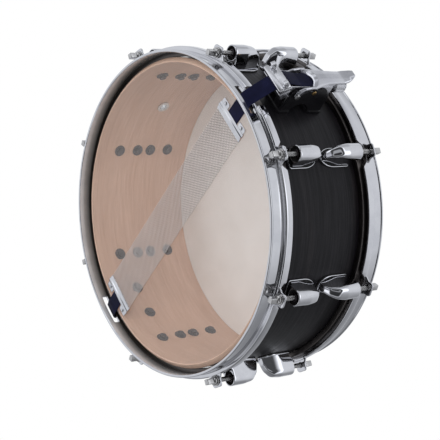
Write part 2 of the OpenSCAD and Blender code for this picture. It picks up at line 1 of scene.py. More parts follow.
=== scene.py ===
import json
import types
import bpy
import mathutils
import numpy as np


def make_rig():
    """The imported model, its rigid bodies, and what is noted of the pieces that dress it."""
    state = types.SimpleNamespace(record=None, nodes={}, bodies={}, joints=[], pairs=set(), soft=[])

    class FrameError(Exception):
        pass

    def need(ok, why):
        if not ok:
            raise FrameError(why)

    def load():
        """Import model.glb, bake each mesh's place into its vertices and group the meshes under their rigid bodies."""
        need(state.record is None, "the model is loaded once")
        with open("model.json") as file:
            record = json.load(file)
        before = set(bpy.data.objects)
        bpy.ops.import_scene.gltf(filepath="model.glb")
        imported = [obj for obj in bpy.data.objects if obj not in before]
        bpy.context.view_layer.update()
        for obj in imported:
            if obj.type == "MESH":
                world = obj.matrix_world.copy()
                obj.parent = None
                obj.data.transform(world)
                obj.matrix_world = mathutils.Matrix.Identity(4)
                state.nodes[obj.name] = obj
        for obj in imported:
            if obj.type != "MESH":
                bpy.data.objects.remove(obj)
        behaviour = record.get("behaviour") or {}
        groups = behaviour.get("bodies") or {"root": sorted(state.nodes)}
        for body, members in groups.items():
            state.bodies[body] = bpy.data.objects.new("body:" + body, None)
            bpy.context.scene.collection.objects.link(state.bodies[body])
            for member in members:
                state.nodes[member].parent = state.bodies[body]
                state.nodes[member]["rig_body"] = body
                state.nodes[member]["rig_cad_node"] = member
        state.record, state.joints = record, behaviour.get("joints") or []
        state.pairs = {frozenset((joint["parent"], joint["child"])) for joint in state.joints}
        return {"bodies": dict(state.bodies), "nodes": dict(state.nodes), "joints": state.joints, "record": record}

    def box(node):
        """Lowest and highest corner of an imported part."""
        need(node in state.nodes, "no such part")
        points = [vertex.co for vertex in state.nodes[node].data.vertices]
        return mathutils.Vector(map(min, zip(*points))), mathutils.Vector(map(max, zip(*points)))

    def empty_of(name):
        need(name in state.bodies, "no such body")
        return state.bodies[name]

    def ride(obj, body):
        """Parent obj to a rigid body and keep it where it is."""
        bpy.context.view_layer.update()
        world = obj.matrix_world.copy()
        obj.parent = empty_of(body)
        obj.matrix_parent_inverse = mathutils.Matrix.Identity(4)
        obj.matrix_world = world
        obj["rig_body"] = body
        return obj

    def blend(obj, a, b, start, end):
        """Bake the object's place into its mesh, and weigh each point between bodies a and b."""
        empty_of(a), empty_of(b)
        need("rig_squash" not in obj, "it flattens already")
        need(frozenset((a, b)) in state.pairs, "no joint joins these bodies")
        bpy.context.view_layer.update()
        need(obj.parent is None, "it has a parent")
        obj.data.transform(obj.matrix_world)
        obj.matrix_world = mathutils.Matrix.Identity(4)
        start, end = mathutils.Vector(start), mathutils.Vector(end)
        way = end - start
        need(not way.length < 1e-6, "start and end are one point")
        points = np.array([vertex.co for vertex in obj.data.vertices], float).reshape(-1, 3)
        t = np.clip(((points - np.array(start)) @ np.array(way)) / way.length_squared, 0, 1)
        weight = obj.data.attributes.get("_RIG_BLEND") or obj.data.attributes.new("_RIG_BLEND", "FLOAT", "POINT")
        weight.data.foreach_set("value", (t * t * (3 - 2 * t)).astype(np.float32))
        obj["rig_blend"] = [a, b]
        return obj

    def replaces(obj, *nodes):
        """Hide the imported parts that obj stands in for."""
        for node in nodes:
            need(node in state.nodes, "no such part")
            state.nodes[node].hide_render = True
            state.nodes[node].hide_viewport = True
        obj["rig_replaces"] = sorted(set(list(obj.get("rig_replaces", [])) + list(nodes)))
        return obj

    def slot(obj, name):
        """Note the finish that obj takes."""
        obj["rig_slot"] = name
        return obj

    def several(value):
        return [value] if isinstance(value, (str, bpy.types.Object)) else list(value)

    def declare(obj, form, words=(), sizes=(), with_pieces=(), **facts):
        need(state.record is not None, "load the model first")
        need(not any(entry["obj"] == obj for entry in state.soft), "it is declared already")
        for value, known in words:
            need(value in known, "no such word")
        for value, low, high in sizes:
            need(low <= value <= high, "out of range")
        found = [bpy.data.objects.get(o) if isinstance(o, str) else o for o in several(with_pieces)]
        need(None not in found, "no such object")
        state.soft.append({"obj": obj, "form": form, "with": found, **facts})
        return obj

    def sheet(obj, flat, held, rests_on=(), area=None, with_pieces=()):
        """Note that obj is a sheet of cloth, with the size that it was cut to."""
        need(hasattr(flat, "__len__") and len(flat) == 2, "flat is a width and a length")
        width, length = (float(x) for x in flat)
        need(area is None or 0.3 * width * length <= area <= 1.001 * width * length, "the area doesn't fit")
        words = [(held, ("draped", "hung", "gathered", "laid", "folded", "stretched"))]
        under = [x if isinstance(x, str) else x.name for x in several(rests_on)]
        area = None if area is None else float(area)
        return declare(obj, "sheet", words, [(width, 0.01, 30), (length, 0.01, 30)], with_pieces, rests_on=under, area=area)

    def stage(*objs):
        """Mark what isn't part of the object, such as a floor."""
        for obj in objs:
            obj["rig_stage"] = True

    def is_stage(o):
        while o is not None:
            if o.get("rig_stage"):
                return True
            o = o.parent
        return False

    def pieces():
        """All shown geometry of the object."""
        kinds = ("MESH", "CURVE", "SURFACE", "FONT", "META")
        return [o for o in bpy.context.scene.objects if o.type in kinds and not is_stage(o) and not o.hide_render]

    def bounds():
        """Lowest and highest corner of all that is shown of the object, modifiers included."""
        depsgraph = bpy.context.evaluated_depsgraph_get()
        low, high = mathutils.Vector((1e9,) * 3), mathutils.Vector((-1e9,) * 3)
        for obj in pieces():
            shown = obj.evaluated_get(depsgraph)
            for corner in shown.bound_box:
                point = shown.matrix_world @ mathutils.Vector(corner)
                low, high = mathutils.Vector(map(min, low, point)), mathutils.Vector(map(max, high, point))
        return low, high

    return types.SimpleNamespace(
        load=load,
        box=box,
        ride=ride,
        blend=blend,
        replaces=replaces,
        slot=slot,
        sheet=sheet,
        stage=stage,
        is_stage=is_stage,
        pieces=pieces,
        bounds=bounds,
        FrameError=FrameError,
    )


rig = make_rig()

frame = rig.load()

import json
import math

import bmesh
import bpy
import numpy as np
from mathutils import Matrix, Vector

# Shapes are worked out in millimetres and turned into metres when a mesh is made. The letter h is
# a height from the middle of the shell towards a rim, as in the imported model's own source.

CAD_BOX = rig.bounds()
MM = 0.001
RODS = 8
STRAINER = -45
BUTT = STRAINER + 180
SIDES = (("batter", 1), ("snare", -1))


def box_mm(node):
    low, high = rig.box(node)
    return np.array(low) / MM, np.array(high) / MM


RIM_H = box_mm("batter_hoop")[1][2] / 2
MID = RIM_H
SHELL_LOW, SHELL_HIGH = box_mm("shell")
SHELL_R = SHELL_HIGH[0]
HALF_DEPTH = (SHELL_HIGH[2] - SHELL_LOW[2]) / 2
WALL_T = 6
BORE_R = SHELL_R - WALL_T
EDGE_R = BORE_R + 1
HOOP_R = 182.7
HOOP_T = 2.3
WALL_R = HOOP_R + HOOP_T
LIP_R = box_mm("batter_hoop")[1][0]
STEP_H = 64.3
STEP_LOW_H = STEP_H - HOOP_T
LIP_H = 55
ROD_R = 2.8
ROD_CIRCLE_R = 195.1
ROD_AXIS = (ROD_CIRCLE_R, 0)
RECEIVER_R = 9.3
LUG_END_H = 45
FOOT_R = SHELL_R + 0.6
PIVOT = (203.5, 20.5)
SCREW_R = 207.5
CLAMP_CENTRE, CLAMP_TILT = (212.5, 43.25), math.radians(33.7)
CHEEK, ARM = (10, 12.8), (13.2, 15.8)
MOUTH_BEVEL, MOUTH_BEVEL_T = 1.8, 0.09
STRAP_W, STRAP_T = 19.8, 0.8
FILM_T, WIRE_GAP, STRAND_HALF = 0.5, 0.35, 0.8
WIRE_H = HALF_DEPTH + FILM_T + WIRE_GAP + STRAND_HALF
PLATE_END, WIRE_HALF = 163, 146


# ---------- placing ----------


def drum_side(angle, side):
    """x away from the drum axis at that angle, y across, z from the middle towards a rim."""
    turn = Matrix.Rotation(math.radians(angle), 4, "Z")
    return turn @ Matrix.Translation((0, 0, MID)) @ Matrix.Diagonal((1, 1, side, 1))


def rod_angle(i):
    return 360 / RODS * (i - 0.5)


def radial_face(x):
    """An outline drawn (across, height) and thickened outwards from x."""
    return Matrix(((0, 0, 1, x), (1, 0, 0, 0), (0, 1, 0, 0), (0, 0, 0, 1)))


def side_face(y):
    """An outline drawn (distance, height) and thickened across the radius, centred on y."""
    return Matrix(((1, 0, 0, 0), (0, 0, -1, y), (0, 1, 0, 0), (0, 0, 0, 1)))


# ---------- outlines ----------


def rounded(corners, steps=4):
    """Closed outline with each (a, b, radius) corner turned into an arc."""
    points = []
    count = len(corners)
    for k, (a, b, radius) in enumerate(corners):
        here = np.array((a, b), float)
        back = np.array(corners[k - 1][:2], float) - here
        ahead = np.array(corners[(k + 1) % count][:2], float) - here
        if radius <= 0:
            points.append(here)
            continue
        back_len, ahead_len = np.linalg.norm(back), np.linalg.norm(ahead)
        back, ahead = back / back_len, ahead / ahead_len
        half = math.acos(max(-1, min(1, back @ ahead))) / 2
        reach = min(radius / math.tan(half), 0.49 * back_len, 0.49 * ahead_len)
        true_radius = reach * math.tan(half)
        middle = (back + ahead) / np.linalg.norm(back + ahead)
        centre = here + middle * true_radius / math.sin(half)
        start, end = here + back * reach - centre, here + ahead * reach - centre
        swing = math.atan2(start[0] * end[1] - start[1] * end[0], start @ end)
        for t in np.linspace(0, swing, steps + 1):
            c, s = math.cos(t), math.sin(t)
            points.append(centre + (c * start[0] - s * start[1], s * start[0] + c * start[1]))
    return np.array(points)


def rectangle(low, high, radius, steps=4):
    (x0, y0), (x1, y1) = low, high
    return rounded([(x0, y0, radius), (x1, y0, radius), (x1, y1, radius), (x0, y1, radius)], steps)


def full_turn(count):
    """Angles that divide a turn evenly."""
    return np.arange(count) * 2 * math.pi / count


def circle(radius, count=48, centre=(0, 0)):
    """Points round a centre, at one radius or at one for each point."""
    t = full_turn(count)
    return np.stack((centre[0] + radius * np.cos(t), centre[1] + radius * np.sin(t)), 1)


def outward(outline):
    """Unit normals that point out of a closed outline, whichever way round it is drawn."""
    before, after = np.roll(outline, 1, 0), np.roll(outline, -1, 0)
    along = after - before
    along /= np.maximum(np.linalg.norm(along, axis=1), 1e-9)[:, None]
    area = np.sum(outline[:, 0] * after[:, 1] - after[:, 0] * outline[:, 1])
    return np.stack((along[:, 1], -along[:, 0]), 1) * (1 if area > 0 else -1)


def line_normals(line):
    """Unit normals of an open line."""
    along = np.gradient(line, axis=0)
    along /= np.linalg.norm(along, axis=1)[:, None]
    return np.column_stack((-along[:, 1], along[:, 0]))


# ---------- meshes: (vertices in mm, faces) ----------


def grid(rings, close_loop=True):
    """Quads over rings of points; close_loop joins the last ring to the first."""
    count, width = len(rings), len(rings[0])
    verts = np.asarray(rings, float).reshape(-1, 3)
    faces = []
    for i in range(count if close_loop else count - 1):
        here, there = i * width, (i + 1) % count * width
        for j in range(width):
            following = (j + 1) % width
            faces.append((here + j, here + following, there + following, there + j))
    return verts, faces


def capped(rings):
    """Rings of points joined in order, with an end face on the first and the last."""
    verts, faces = grid(rings, False)
    width = len(rings[0])
    last = len(verts) - width
    faces += [tuple(range(width))[::-1], tuple(range(last, len(verts)))]
    return verts, faces


def level(flat, h):
    """Points of an outline, all at one height."""
    return np.column_stack((flat, np.full(len(flat), h)))


def rims(low, high, edge):
    """(inset, height) of the rings that round the lower and the upper rim of a slab."""
    steps = 3
    quarter = [k / steps * math.pi / 2 for k in range(steps + 1)]
    curve = [(edge * (1 - math.sin(t)), edge * (1 - math.cos(t))) for t in quarter]
    lower = [(inset, low + rise) for inset, rise in curve]
    return lower + [(inset, high - rise) for inset, rise in curve[::-1]]


def rim_rings(outline, low, high, edge):
    """Rings of a slab's outside."""
    normals = outward(outline)
    return [level(outline - normals * inset, h) for inset, h in rims(low, high, edge)]


def slab(outline, low, high, edge):
    """Outline thickened along z, with rounded rims."""
    return capped(rim_rings(np.asarray(outline, float), low, high, edge))


def pierced(outline, centre, radius, low, high, edge):
    """Slab with rounded rims and a round hole."""
    rays = outline - np.asarray(centre, float)
    rays /= np.linalg.norm(rays, axis=1)[:, None]
    hole = [level(centre + rays * (radius + inset), h) for inset, h in rims(low, high, edge)]
    return grid(rim_rings(outline, low, high, edge) + hole[::-1])


def turned(profile, count, centre=(0, 0)):
    """Profile of (radius, z) points turned about an upright axis, with its ends closed."""
    return capped([level(circle(radius, count, centre), z) for radius, z in profile])


def around_drum(profile_at, angles):
    """Closed profile of (radius, z) points swept round the drum axis; it may change with angle."""
    rings = []
    for angle in angles:
        radius, z = profile_at(angle).T
        rings.append(np.stack((radius * math.cos(angle), radius * math.sin(angle), z), 1))
    return grid(rings)


def moved(mesh, matrix):
    verts, faces = mesh
    m = np.array(matrix)
    return verts @ m[:3, :3].T + m[:3, 3], [f[::-1] for f in faces] if np.linalg.det(m) < 0 else faces


def joined(*meshes):
    verts, faces, start = [], [], 0
    for v, f in meshes:
        verts.append(v)
        faces += [tuple(start + k for k in face) for face in f]
        start += len(v)
    return np.concatenate(verts), faces


# ---------- objects ----------


def blender_mesh(name, mesh, sharp=32):
    verts, faces = mesh
    data = bpy.data.meshes.new(name)
    data.from_pydata((np.asarray(verts) * MM).tolist(), [], [list(map(int, f)) for f in faces])
    data.validate()
    outward_faces(data)
    shade(data, sharp)
    return data


def shade(data, sharp):
    """Smooth shading, broken at edges sharper than that many degrees."""
    data.polygons.foreach_set("use_smooth", [True] * len(data.polygons))
    data.set_sharp_from_angle(angle=math.radians(sharp))


def outward_faces(data):
    work = bmesh.new()
    work.from_mesh(data)
    bmesh.ops.remove_doubles(work, verts=work.verts, dist=1e-7)
    bmesh.ops.recalc_face_normals(work, faces=work.faces)
    work.to_mesh(data)
    work.free()
    data.update()


def add(name, data, place=None):
    obj = bpy.data.objects.new(name, data)
    bpy.context.scene.collection.objects.link(obj)
    if place is not None:
        obj.matrix_world = place
    return obj


def carve(obj, cutters, sharp):
    """Cuts the cutter meshes out of obj, for good."""
    helpers = [add("cutter", blender_mesh("cutter", mesh), obj.matrix_world) for mesh in cutters]
    for helper in helpers:
        cut = obj.modifiers.new("cut", "BOOLEAN")
        cut.operation = "DIFFERENCE"
        cut.object = helper
        cut.solver = "EXACT"
    bpy.context.view_layer.update()
    seen = obj.evaluated_get(bpy.context.evaluated_depsgraph_get())
    result = bpy.data.meshes.new_from_object(seen)
    obj.modifiers.clear()
    obj.data = result
    for helper in helpers:
        bpy.data.objects.remove(helper)
    shade(result, sharp)


def settle(obj, materials, body, slot, replaces):
    """Gives a piece its materials, its body, its slot and the CAD node that it stands for."""
    obj.data.materials.clear()
    for material in materials:
        obj.data.materials.append(material)
    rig.ride(obj, body)
    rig.slot(obj, slot)
    if replaces:
        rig.replaces(obj, replaces)


def piece(name, mesh, material, slot, body="root", replaces="", sharp=32):
    settle(add(name, blender_mesh(name, mesh, sharp)), [material], body, slot, replaces)


def second_material(data, chosen):
    """Gives the second material to the faces for which chosen(centre in mm, normal) holds."""
    for face in data.polygons:
        face.material_index = int(chosen(face.center / MM, face.normal))


def at_each_rod(name, data, slot, numbered="", shared="", rides=False):
    """A copy of a mesh at each rod. Each stands for a numbered node, which it may ride, or the first
    one stands for a shared node."""
    for i in range(1, RODS + 1):
        obj = add(f"{name}_{i}", data, Matrix.Rotation(math.radians(rod_angle(i)), 4, "Z"))
        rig.ride(obj, f"{numbered}_{i}" if rides else "root")
        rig.slot(obj, slot)
        if numbered:
            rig.replaces(obj, f"{numbered}_{i}")
        elif shared and i == 1:
            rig.replaces(obj, shared)


# ---------- materials ----------


class Nodes:
    """The node tree of a material or a world, and the ways to fill it."""

    def __init__(self, owner):
        owner.use_nodes = True
        self.tree = owner.node_tree
        self.tree.nodes.clear()

    def node(self, kind, sockets=None, **settings):
        made = self.tree.nodes.new(kind)
        for key, value in settings.items():
            setattr(made, key, value)
        for key, value in (sockets or {}).items():
            made.inputs[key].default_value = value
        return made

    def link(self, source, target):
        self.tree.links.new(source, target)

    def ramp(self, fac, stops):
        made = self.node("ShaderNodeValToRGB")
        elements = made.color_ramp.elements
        while len(elements) < len(stops):
            elements.new(0.5)
        for element, (position, colour) in zip(elements, stops):
            element.position = position
            element.color = (*colour, 1)
        self.link(fac, made.inputs["Fac"])
        return made.outputs["Color"]

    def spread(self, fac, low, high, start=0.3, end=0.7):
        made = self.node("ShaderNodeMapRange", {
            "From Min": start, "From Max": end, "To Min": low, "To Max": high
        })
        self.link(fac, made.inputs["Value"])
        return made.outputs["Result"]

    def mix(self, fac, a, b, kind="MIX"):
        made = self.node("ShaderNodeMix", {0: fac}, data_type="RGBA", blend_type=kind)
        for socket, value in ((made.inputs[6], a), (made.inputs[7], b)):
            if isinstance(value, tuple):
                socket.default_value = (*value, 1)
            else:
                self.link(value, socket)
        return made.outputs[2]


class Finish(Nodes):
    """A Principled material with procedural colour, roughness and relief, in object space."""

    def __init__(self, name, sockets=None):
        self.material = bpy.data.materials.new(name)
        super().__init__(self.material)
        self.out = self.node("ShaderNodeOutputMaterial")
        self.shader = self.node("ShaderNodeBsdfPrincipled", sockets)
        self.link(self.shader.outputs[0], self.out.inputs[0])
        self.place = self.node("ShaderNodeTexCoord").outputs["Object"]

    def noise(self, scale, detail=3, roughness=0.5, distortion=0):
        """Noise at one scale, or at one for each axis."""
        scales = scale if isinstance(scale, tuple) else (scale,) * 3
        mapping = self.node("ShaderNodeMapping", {"Scale": scales})
        made = self.node("ShaderNodeTexNoise", {
            "Scale": 1, "Detail": detail, "Roughness": roughness, "Distortion": distortion
        })
        self.link(self.place, mapping.inputs["Vector"])
        self.link(mapping.outputs[0], made.inputs["Vector"])
        return made.outputs["Fac"]

    def colour(self, tone, marks=None):
        """Base colour, which marks may darken or lighten."""
        value = tone if marks is None else self.mix(1, tone, marks, "MULTIPLY")
        self.link(value, self.shader.inputs["Base Color"])

    def rough(self, value):
        self.link(value, self.shader.inputs["Roughness"])

    def relief(self, height, strength, distance):
        made = self.node("ShaderNodeBump", {"Strength": strength, "Distance": distance})
        self.link(height, made.inputs["Height"])
        self.link(made.outputs[0], self.shader.inputs["Normal"])


def surface(name, sockets, tone, stops, polish, rough, grain=None, relief=(), marks=None):
    """Finish with a noise each for tone, polish and relief, and marks that multiply the tone.
    A noise is (scale, detail, roughness, distortion) and marks are a noise and its stops."""
    finish = Finish(name, sockets)
    multiplier = finish.ramp(finish.noise(*marks[0]), marks[1]) if marks else None
    finish.colour(finish.ramp(finish.noise(*tone), stops), multiplier)
    finish.rough(finish.spread(finish.noise(*polish), *rough))
    if grain:
        finish.relief(finish.noise(*grain), *relief)
    return finish


def metal(name, bright, dull, low, high, relief=0.02, patch=35):
    """Plated or bare metal: cloudy tone, uneven polish and a faint surface grain."""
    stops = [(0.35, dull), (0.62, bright)]
    return surface(
        name, {"Metallic": 1}, (patch, 4, 0.6), stops, (patch * 3, 5, 0.65), (low, high),
        (600, 2), (relief, 0.0001)
    ).material


def brushed_metal(name, bright, dull, low, high, along):
    """Metal with drawn or brushed lines; along is the scale of the lines on each axis."""
    lines, stops = (along, 4, 0.7), [(0.3, dull), (0.7, bright)]
    return surface(
        name, {"Metallic": 1}, lines, stops, lines, (low, high), lines, (0.15, 0.0001)
    ).material


def from_middle(finish, low, high):
    """0 to 1 between two distances from the drum's middle plane, in millimetres."""
    split = finish.node("ShaderNodeSeparateXYZ")
    offset = finish.node("ShaderNodeMath", {1: MID * MM}, operation="SUBTRACT")
    size = finish.node("ShaderNodeMath", operation="ABSOLUTE")
    finish.link(finish.place, split.inputs[0])
    finish.link(split.outputs["Z"], offset.inputs[0])
    finish.link(offset.outputs[0], size.inputs[0])
    return finish.spread(size.outputs[0], 0, 1, low * MM, high * MM)


def height_painted_light(name, metallic, tone, haze, dim, polish, rough):
    """Metal with painted light and shade that change with the distance from the drum's middle, under a faint haze."""
    finish = Finish(name, {"Metallic": metallic})
    low, high, stops = tone
    cloud = finish.ramp(finish.noise(haze, 4, 0.6), [(0.35, (dim, dim, dim)), (0.65, (1, 1, 1))])
    # The ramp by height is painted light and shade; the haze is random tone.
    finish.colour(finish.ramp(from_middle(finish, low, high), stops), cloud)
    finish.rough(finish.spread(finish.noise(polish, 4, 0.6), *rough))
    return finish


def hoop_inside_painted_shade():
    """Duller plating inside the rim, with painted shade that darkens it towards the head."""
    # Painted shade: near black at the head, lighter grey up to the rim top.
    finish = height_painted_light("hoop_inside_painted_shade", 0.3, (STEP_LOW_H + 2, RIM_H, [
        (0.12, (0.03, 0.026, 0.022)), (0.22, (0.15, 0.145, 0.14)), (0.6, (0.40, 0.40, 0.40)),
        (0.74, (0.62, 0.62, 0.63)), (1, (0.82, 0.82, 0.84))
    ]), 60, 0.86, 120, (0.14, 0.26))
    finish.relief(finish.noise(600, 2), 0.03, 0.0001)
    return finish.material


def coiled_steel_painted_light():
    """Wire with painted light: a painted highlight on the side of each coil that faces out of the drum, painted shade
    on the side that faces into it.
    """
    # Painted light and shade: dark on the half of each coil nearer the drum's middle, bright on the outer half.
    finish = height_painted_light("coiled_steel_painted_light", 0.5, (WIRE_H - 1, WIRE_H + 1, [
        (0.35, (0.10, 0.09, 0.10)), (0.65, (0.98, 0.96, 0.96))
    ]), 150, 0.85, 300, (0.3, 0.42))
    finish.relief(finish.noise(900, 2), 0.05, 0.0001)
    return finish.material


def black_ash():
    """Open-grained ash stained black under satin lacquer. The grain runs round the shell."""
    lines, pores = ((16, 16, 620), 5, 0.7, 0.25), ((60, 60, 2200), 3, 0.6)
    stain = [
        (0.3, (0.006, 0.0055, 0.0075)), (0.55, (0.011, 0.0098, 0.012)), (0.8, (0.024, 0.0195, 0.0195))
    ]
    streaks = [(0.42, (0.35, 0.35, 0.36)), (0.56, (1, 1, 1)), (0.75, (1.9, 1.65, 1.5))]
    finish = surface(
        "black_ash", {"Specular IOR Level": 0.22, "Coat Weight": 0.06, "Coat Roughness": 0.25},
        ((9, 9, 42), 4, 0.55, 0.6), stain, lines, (0.5, 0.34), marks=(lines, streaks)
    )
    finish.relief(finish.mix(0.4, finish.noise(*lines), finish.noise(*pores)), 0.35, 0.00035)
    return finish.material


def maple():
    """Pale maple ply, inside the shell and on the bearing edges."""
    lines = ((18, 18, 480), 5, 0.65, 0.3)
    stops = [(0.3, (0.62, 0.395, 0.275)), (0.7, (0.70, 0.465, 0.34))]
    flecks = [(0.35, (0.86, 0.83, 0.8)), (0.6, (1, 1, 1))]
    return surface(
        "maple", {"Coat Weight": 0.08, "Coat Roughness": 0.4}, ((7, 7, 26), 4, 0.5, 0.5), stops,
        lines, (0.5, 0.62), lines, (0.12, 0.0002), (lines, flecks)
    ).material


def coated_film():
    """White film with a sprayed, slightly sandy coating."""
    speckle = (2600, 2, 0.6)
    stops = [(0.3, (0.80, 0.775, 0.745)), (0.7, (0.86, 0.84, 0.815))]
    return surface(
        "coated_film", {"Specular IOR Level": 0.35}, (26, 4, 0.6), stops, speckle, (0.55, 0.75),
        speckle, (0.25, 0.00015)
    ).material


def clear_film():
    """Thin clear film with a slight haze: most of what is behind it shows."""
    stops = [(0.3, (0.60, 0.57, 0.55)), (0.7, (0.66, 0.63, 0.61))]
    sockets = {"Alpha": 0.1, "Specular IOR Level": 0.6}
    return surface("clear_film", sockets, (18, 4, 0.6), stops, (70, 3), (0.1, 0.2)).material


def ribbon_weave():
    """Dark navy ribbon with a close weave, slightly uneven dye and painted glints on its threads."""
    threads = (2600, 2, 0.6)
    dye = [(0.3, (0.0035, 0.004, 0.016)), (0.7, (0.0065, 0.0075, 0.028))]
    # Painted glints: bright threads lighten the dye up to one and a half times.
    painted_glints = [(0.4, (0.6, 0.6, 0.6)), (0.65, (1.5, 1.5, 1.45))]
    return surface(
        "ribbon_weave", {"Specular IOR Level": 0.12, "Sheen Weight": 0.03, "Sheen Roughness": 0.5},
        (60, 3), dye, threads, (0.62, 0.85), threads, (0.5, 0.0002), (threads, painted_glints)
    ).material


def enamel():
    """Black enamel over a casting, with a fine orange peel and worn, greyer patches."""
    wear = (70, 5, 0.7)
    stops = [(0.35, (0.004, 0.004, 0.005)), (0.75, (0.011, 0.010, 0.012))]
    sockets = {"Specular IOR Level": 0.3, "Coat Weight": 0.05, "Coat Roughness": 0.2}
    return surface(
        "black_enamel", sockets, wear, stops, wear, (0.28, 0.45), (420, 3), (0.08, 0.0002)
    ).material


def rubber():
    """Matt black rubber with some dust on it."""
    dust = (150, 5, 0.7)
    stops = [(0.35, (0.008, 0.008, 0.008)), (0.8, (0.022, 0.021, 0.02))]
    return surface(
        "gasket_rubber", {"Specular IOR Level": 0.3}, dust, stops, dust, (0.55, 0.8), dust, (0.2, 0.0002)
    ).material


def pocket_painted_shade():
    """Painted shade for the unpolished inside of a casting."""
    grain = (500, 4, 0.7)
    stops = [(0.3, (0.004, 0.004, 0.004)), (0.8, (0.014, 0.013, 0.013))]
    return surface("casting_shadow", {}, grain, stops, grain, (0.6, 0.85), grain, (0.3, 0.0003)).material


SILVER, GREY = (0.84, 0.84, 0.86), (0.76, 0.76, 0.79)
HOOP_CHROME = metal("hoop_chrome", SILVER, GREY, 0.03, 0.06)
HOOP_INSIDE_PAINTED_SHADE = hoop_inside_painted_shade()
LUG_CHROME = metal("lug_chrome", SILVER, GREY, 0.04, 0.09, patch=50)
CAST_CHROME = metal("cast_chrome", (0.8, 0.8, 0.83), (0.7, 0.7, 0.74), 0.1, 0.2, 0.08, 60)
PLATE_CHROME = metal("plate_chrome", SILVER, GREY, 0.06, 0.14, patch=80)
CLAMP_CHROME = metal("clamp_chrome", (0.95, 0.95, 0.97), (0.86, 0.86, 0.89), 0.14, 0.24, patch=80)
NICKEL = metal("nickel_steel", (0.72, 0.71, 0.70), (0.55, 0.54, 0.53), 0.16, 0.3, 0.08, 120)
BRASS = metal("brass", (0.83, 0.56, 0.24), (0.55, 0.35, 0.15), 0.18, 0.34, 0.1, 150)
DARK_WASHER = metal("dark_washer", (0.10, 0.085, 0.095), (0.06, 0.05, 0.055), 0.45, 0.6, 0.1, 140)
# Painted shade: the flesh hoops' aluminium is near black, for the shadow in the gap between the hoop and the head.
FLESH_METAL_PAINTED_SHADE = brushed_metal(
    "flesh_hoop_painted_shade", (0.2, 0.18, 0.17), (0.1, 0.09, 0.085), 0.3, 0.45, (14, 14, 900)
)
YOKE_METAL = brushed_metal("yoke_metal", (0.68, 0.68, 0.70), (0.5, 0.5, 0.52), 0.25, 0.4, (700, 700, 30))
KNOB_METAL = brushed_metal("knob_metal", (0.78, 0.78, 0.80), (0.62, 0.62, 0.64), 0.2, 0.32, (60, 60, 1200))
SNARE_STEEL_PAINTED_LIGHT = coiled_steel_painted_light()
BLACK_ASH, MAPLE = black_ash(), maple()
COATED_FILM, CLEAR_FILM = coated_film(), clear_film()
STRAP_WEAVE, ENAMEL, RUBBER, POCKET_SHADE = ribbon_weave(), enamel(), rubber(), pocket_painted_shade()


# ---------- shell and heads ----------


def snare_bed(x, y):
    """Height of the bottom of the snare beds at a point of the bearing edge."""
    across = -x * math.sin(math.radians(STRAINER)) + y * math.cos(math.radians(STRAINER))
    bed_depth, bed_r = 1.5, 1200
    return HALF_DEPTH - bed_depth + across**2 / (2 * bed_r)


def build_shell():
    edge_drop = SHELL_R - EDGE_R
    inner_drop = EDGE_R - BORE_R
    upper = rounded([
        (SHELL_R, -1, 0), (SHELL_R, HALF_DEPTH - edge_drop, 0.6), (EDGE_R, HALF_DEPTH, 0.5),
        (BORE_R, HALF_DEPTH - inner_drop, 0.4), (BORE_R, -1, 0)
    ])[1:-1]
    walls = np.linspace(-1, 1, 9)[1:-1] * (HALF_DEPTH - edge_drop - 4)
    lower = (upper * (1, -1))[::-1]
    inside = np.column_stack((np.full(len(walls), BORE_R), walls[::-1]))
    outside = np.column_stack((np.full(len(walls), SHELL_R), walls))
    loop = np.concatenate((upper, inside, lower, outside))

    def profile(angle):
        """The wall's section, with its lower edge cut down to the snare bed."""
        shaped = loop.copy()
        for k, (radius, h) in enumerate(loop):
            if h < -60:
                bed = -snare_bed(radius * math.cos(angle), radius * math.sin(angle))
                shaped[k, 1] = max(h, bed)
        return shaped + (0, MID)

    mesh = around_drum(profile, full_turn(360))
    shell = add("shell_ply", blender_mesh("shell_ply", mesh, 28))
    vent = slab(circle(5.6), -12, 8, 0)
    vent_place = Matrix.Rotation(math.radians(STRAINER - 90), 4, "Z") @ Matrix.Translation((0, 0, MID + 4))
    carve(shell, [moved(vent, vent_place @ radial_face(SHELL_R))], 28)
    settle(shell, [BLACK_ASH, MAPLE], "root", "black_stained_ply", "shell")
    second_material(shell.data, lambda centre, normal: (
        math.hypot(centre.x, centre.y) <= SHELL_R - 0.3 or abs(normal.z) >= 0.5
    ))


def film_profile(thickness):
    """Head film from the middle over the bearing edge into its flesh hoop, as (radius, h)."""
    collar_r = SHELL_R + 0.45
    low_h = STEP_LOW_H - 9
    outer = rounded([
        (0, HALF_DEPTH + 0.05, 0), (EDGE_R + 0.4, HALF_DEPTH + 0.05, 4),
        (collar_r, HALF_DEPTH - 5.5, 3), (collar_r, low_h, 0)
    ], 6)
    ease = np.linspace(0, 1, 14)[1:-1] * (EDGE_R - 6)
    flat = np.column_stack((ease, np.full(len(ease), HALF_DEPTH + 0.05)))
    line = np.concatenate((outer[:1], flat, outer[1:]))
    normal = line_normals(line)
    normal[0] = (0, 1)
    return np.concatenate((line, (line + normal * thickness)[::-1]))


def build_head(name, side, material, slot):
    visible_t = 0.3
    mesh = turned(film_profile(visible_t) * (1, side) + (0, MID), 256)
    piece(name + "_film", mesh, material, slot, "root", name, 40)


def build_flesh_hoop(name, side):
    low = STEP_LOW_H - 10.9
    profile = rounded([
        (SHELL_R + 0.85, low, 0.3), (HOOP_R + 1.7, low, 0.6),
        (HOOP_R + 1.7, STEP_LOW_H, 0.8), (SHELL_R + 0.85, STEP_LOW_H, 0.3)
    ], 3)
    loop = profile * (1, side) + (0, MID)
    mesh = around_drum(lambda angle: loop, full_turn(256))
    # The ring takes the near-black finish that paints the shade in the gap under the hoop.
    piece(name + "_ring", mesh, FLESH_METAL_PAINTED_SHADE, "hoop_aluminium", "root", name)


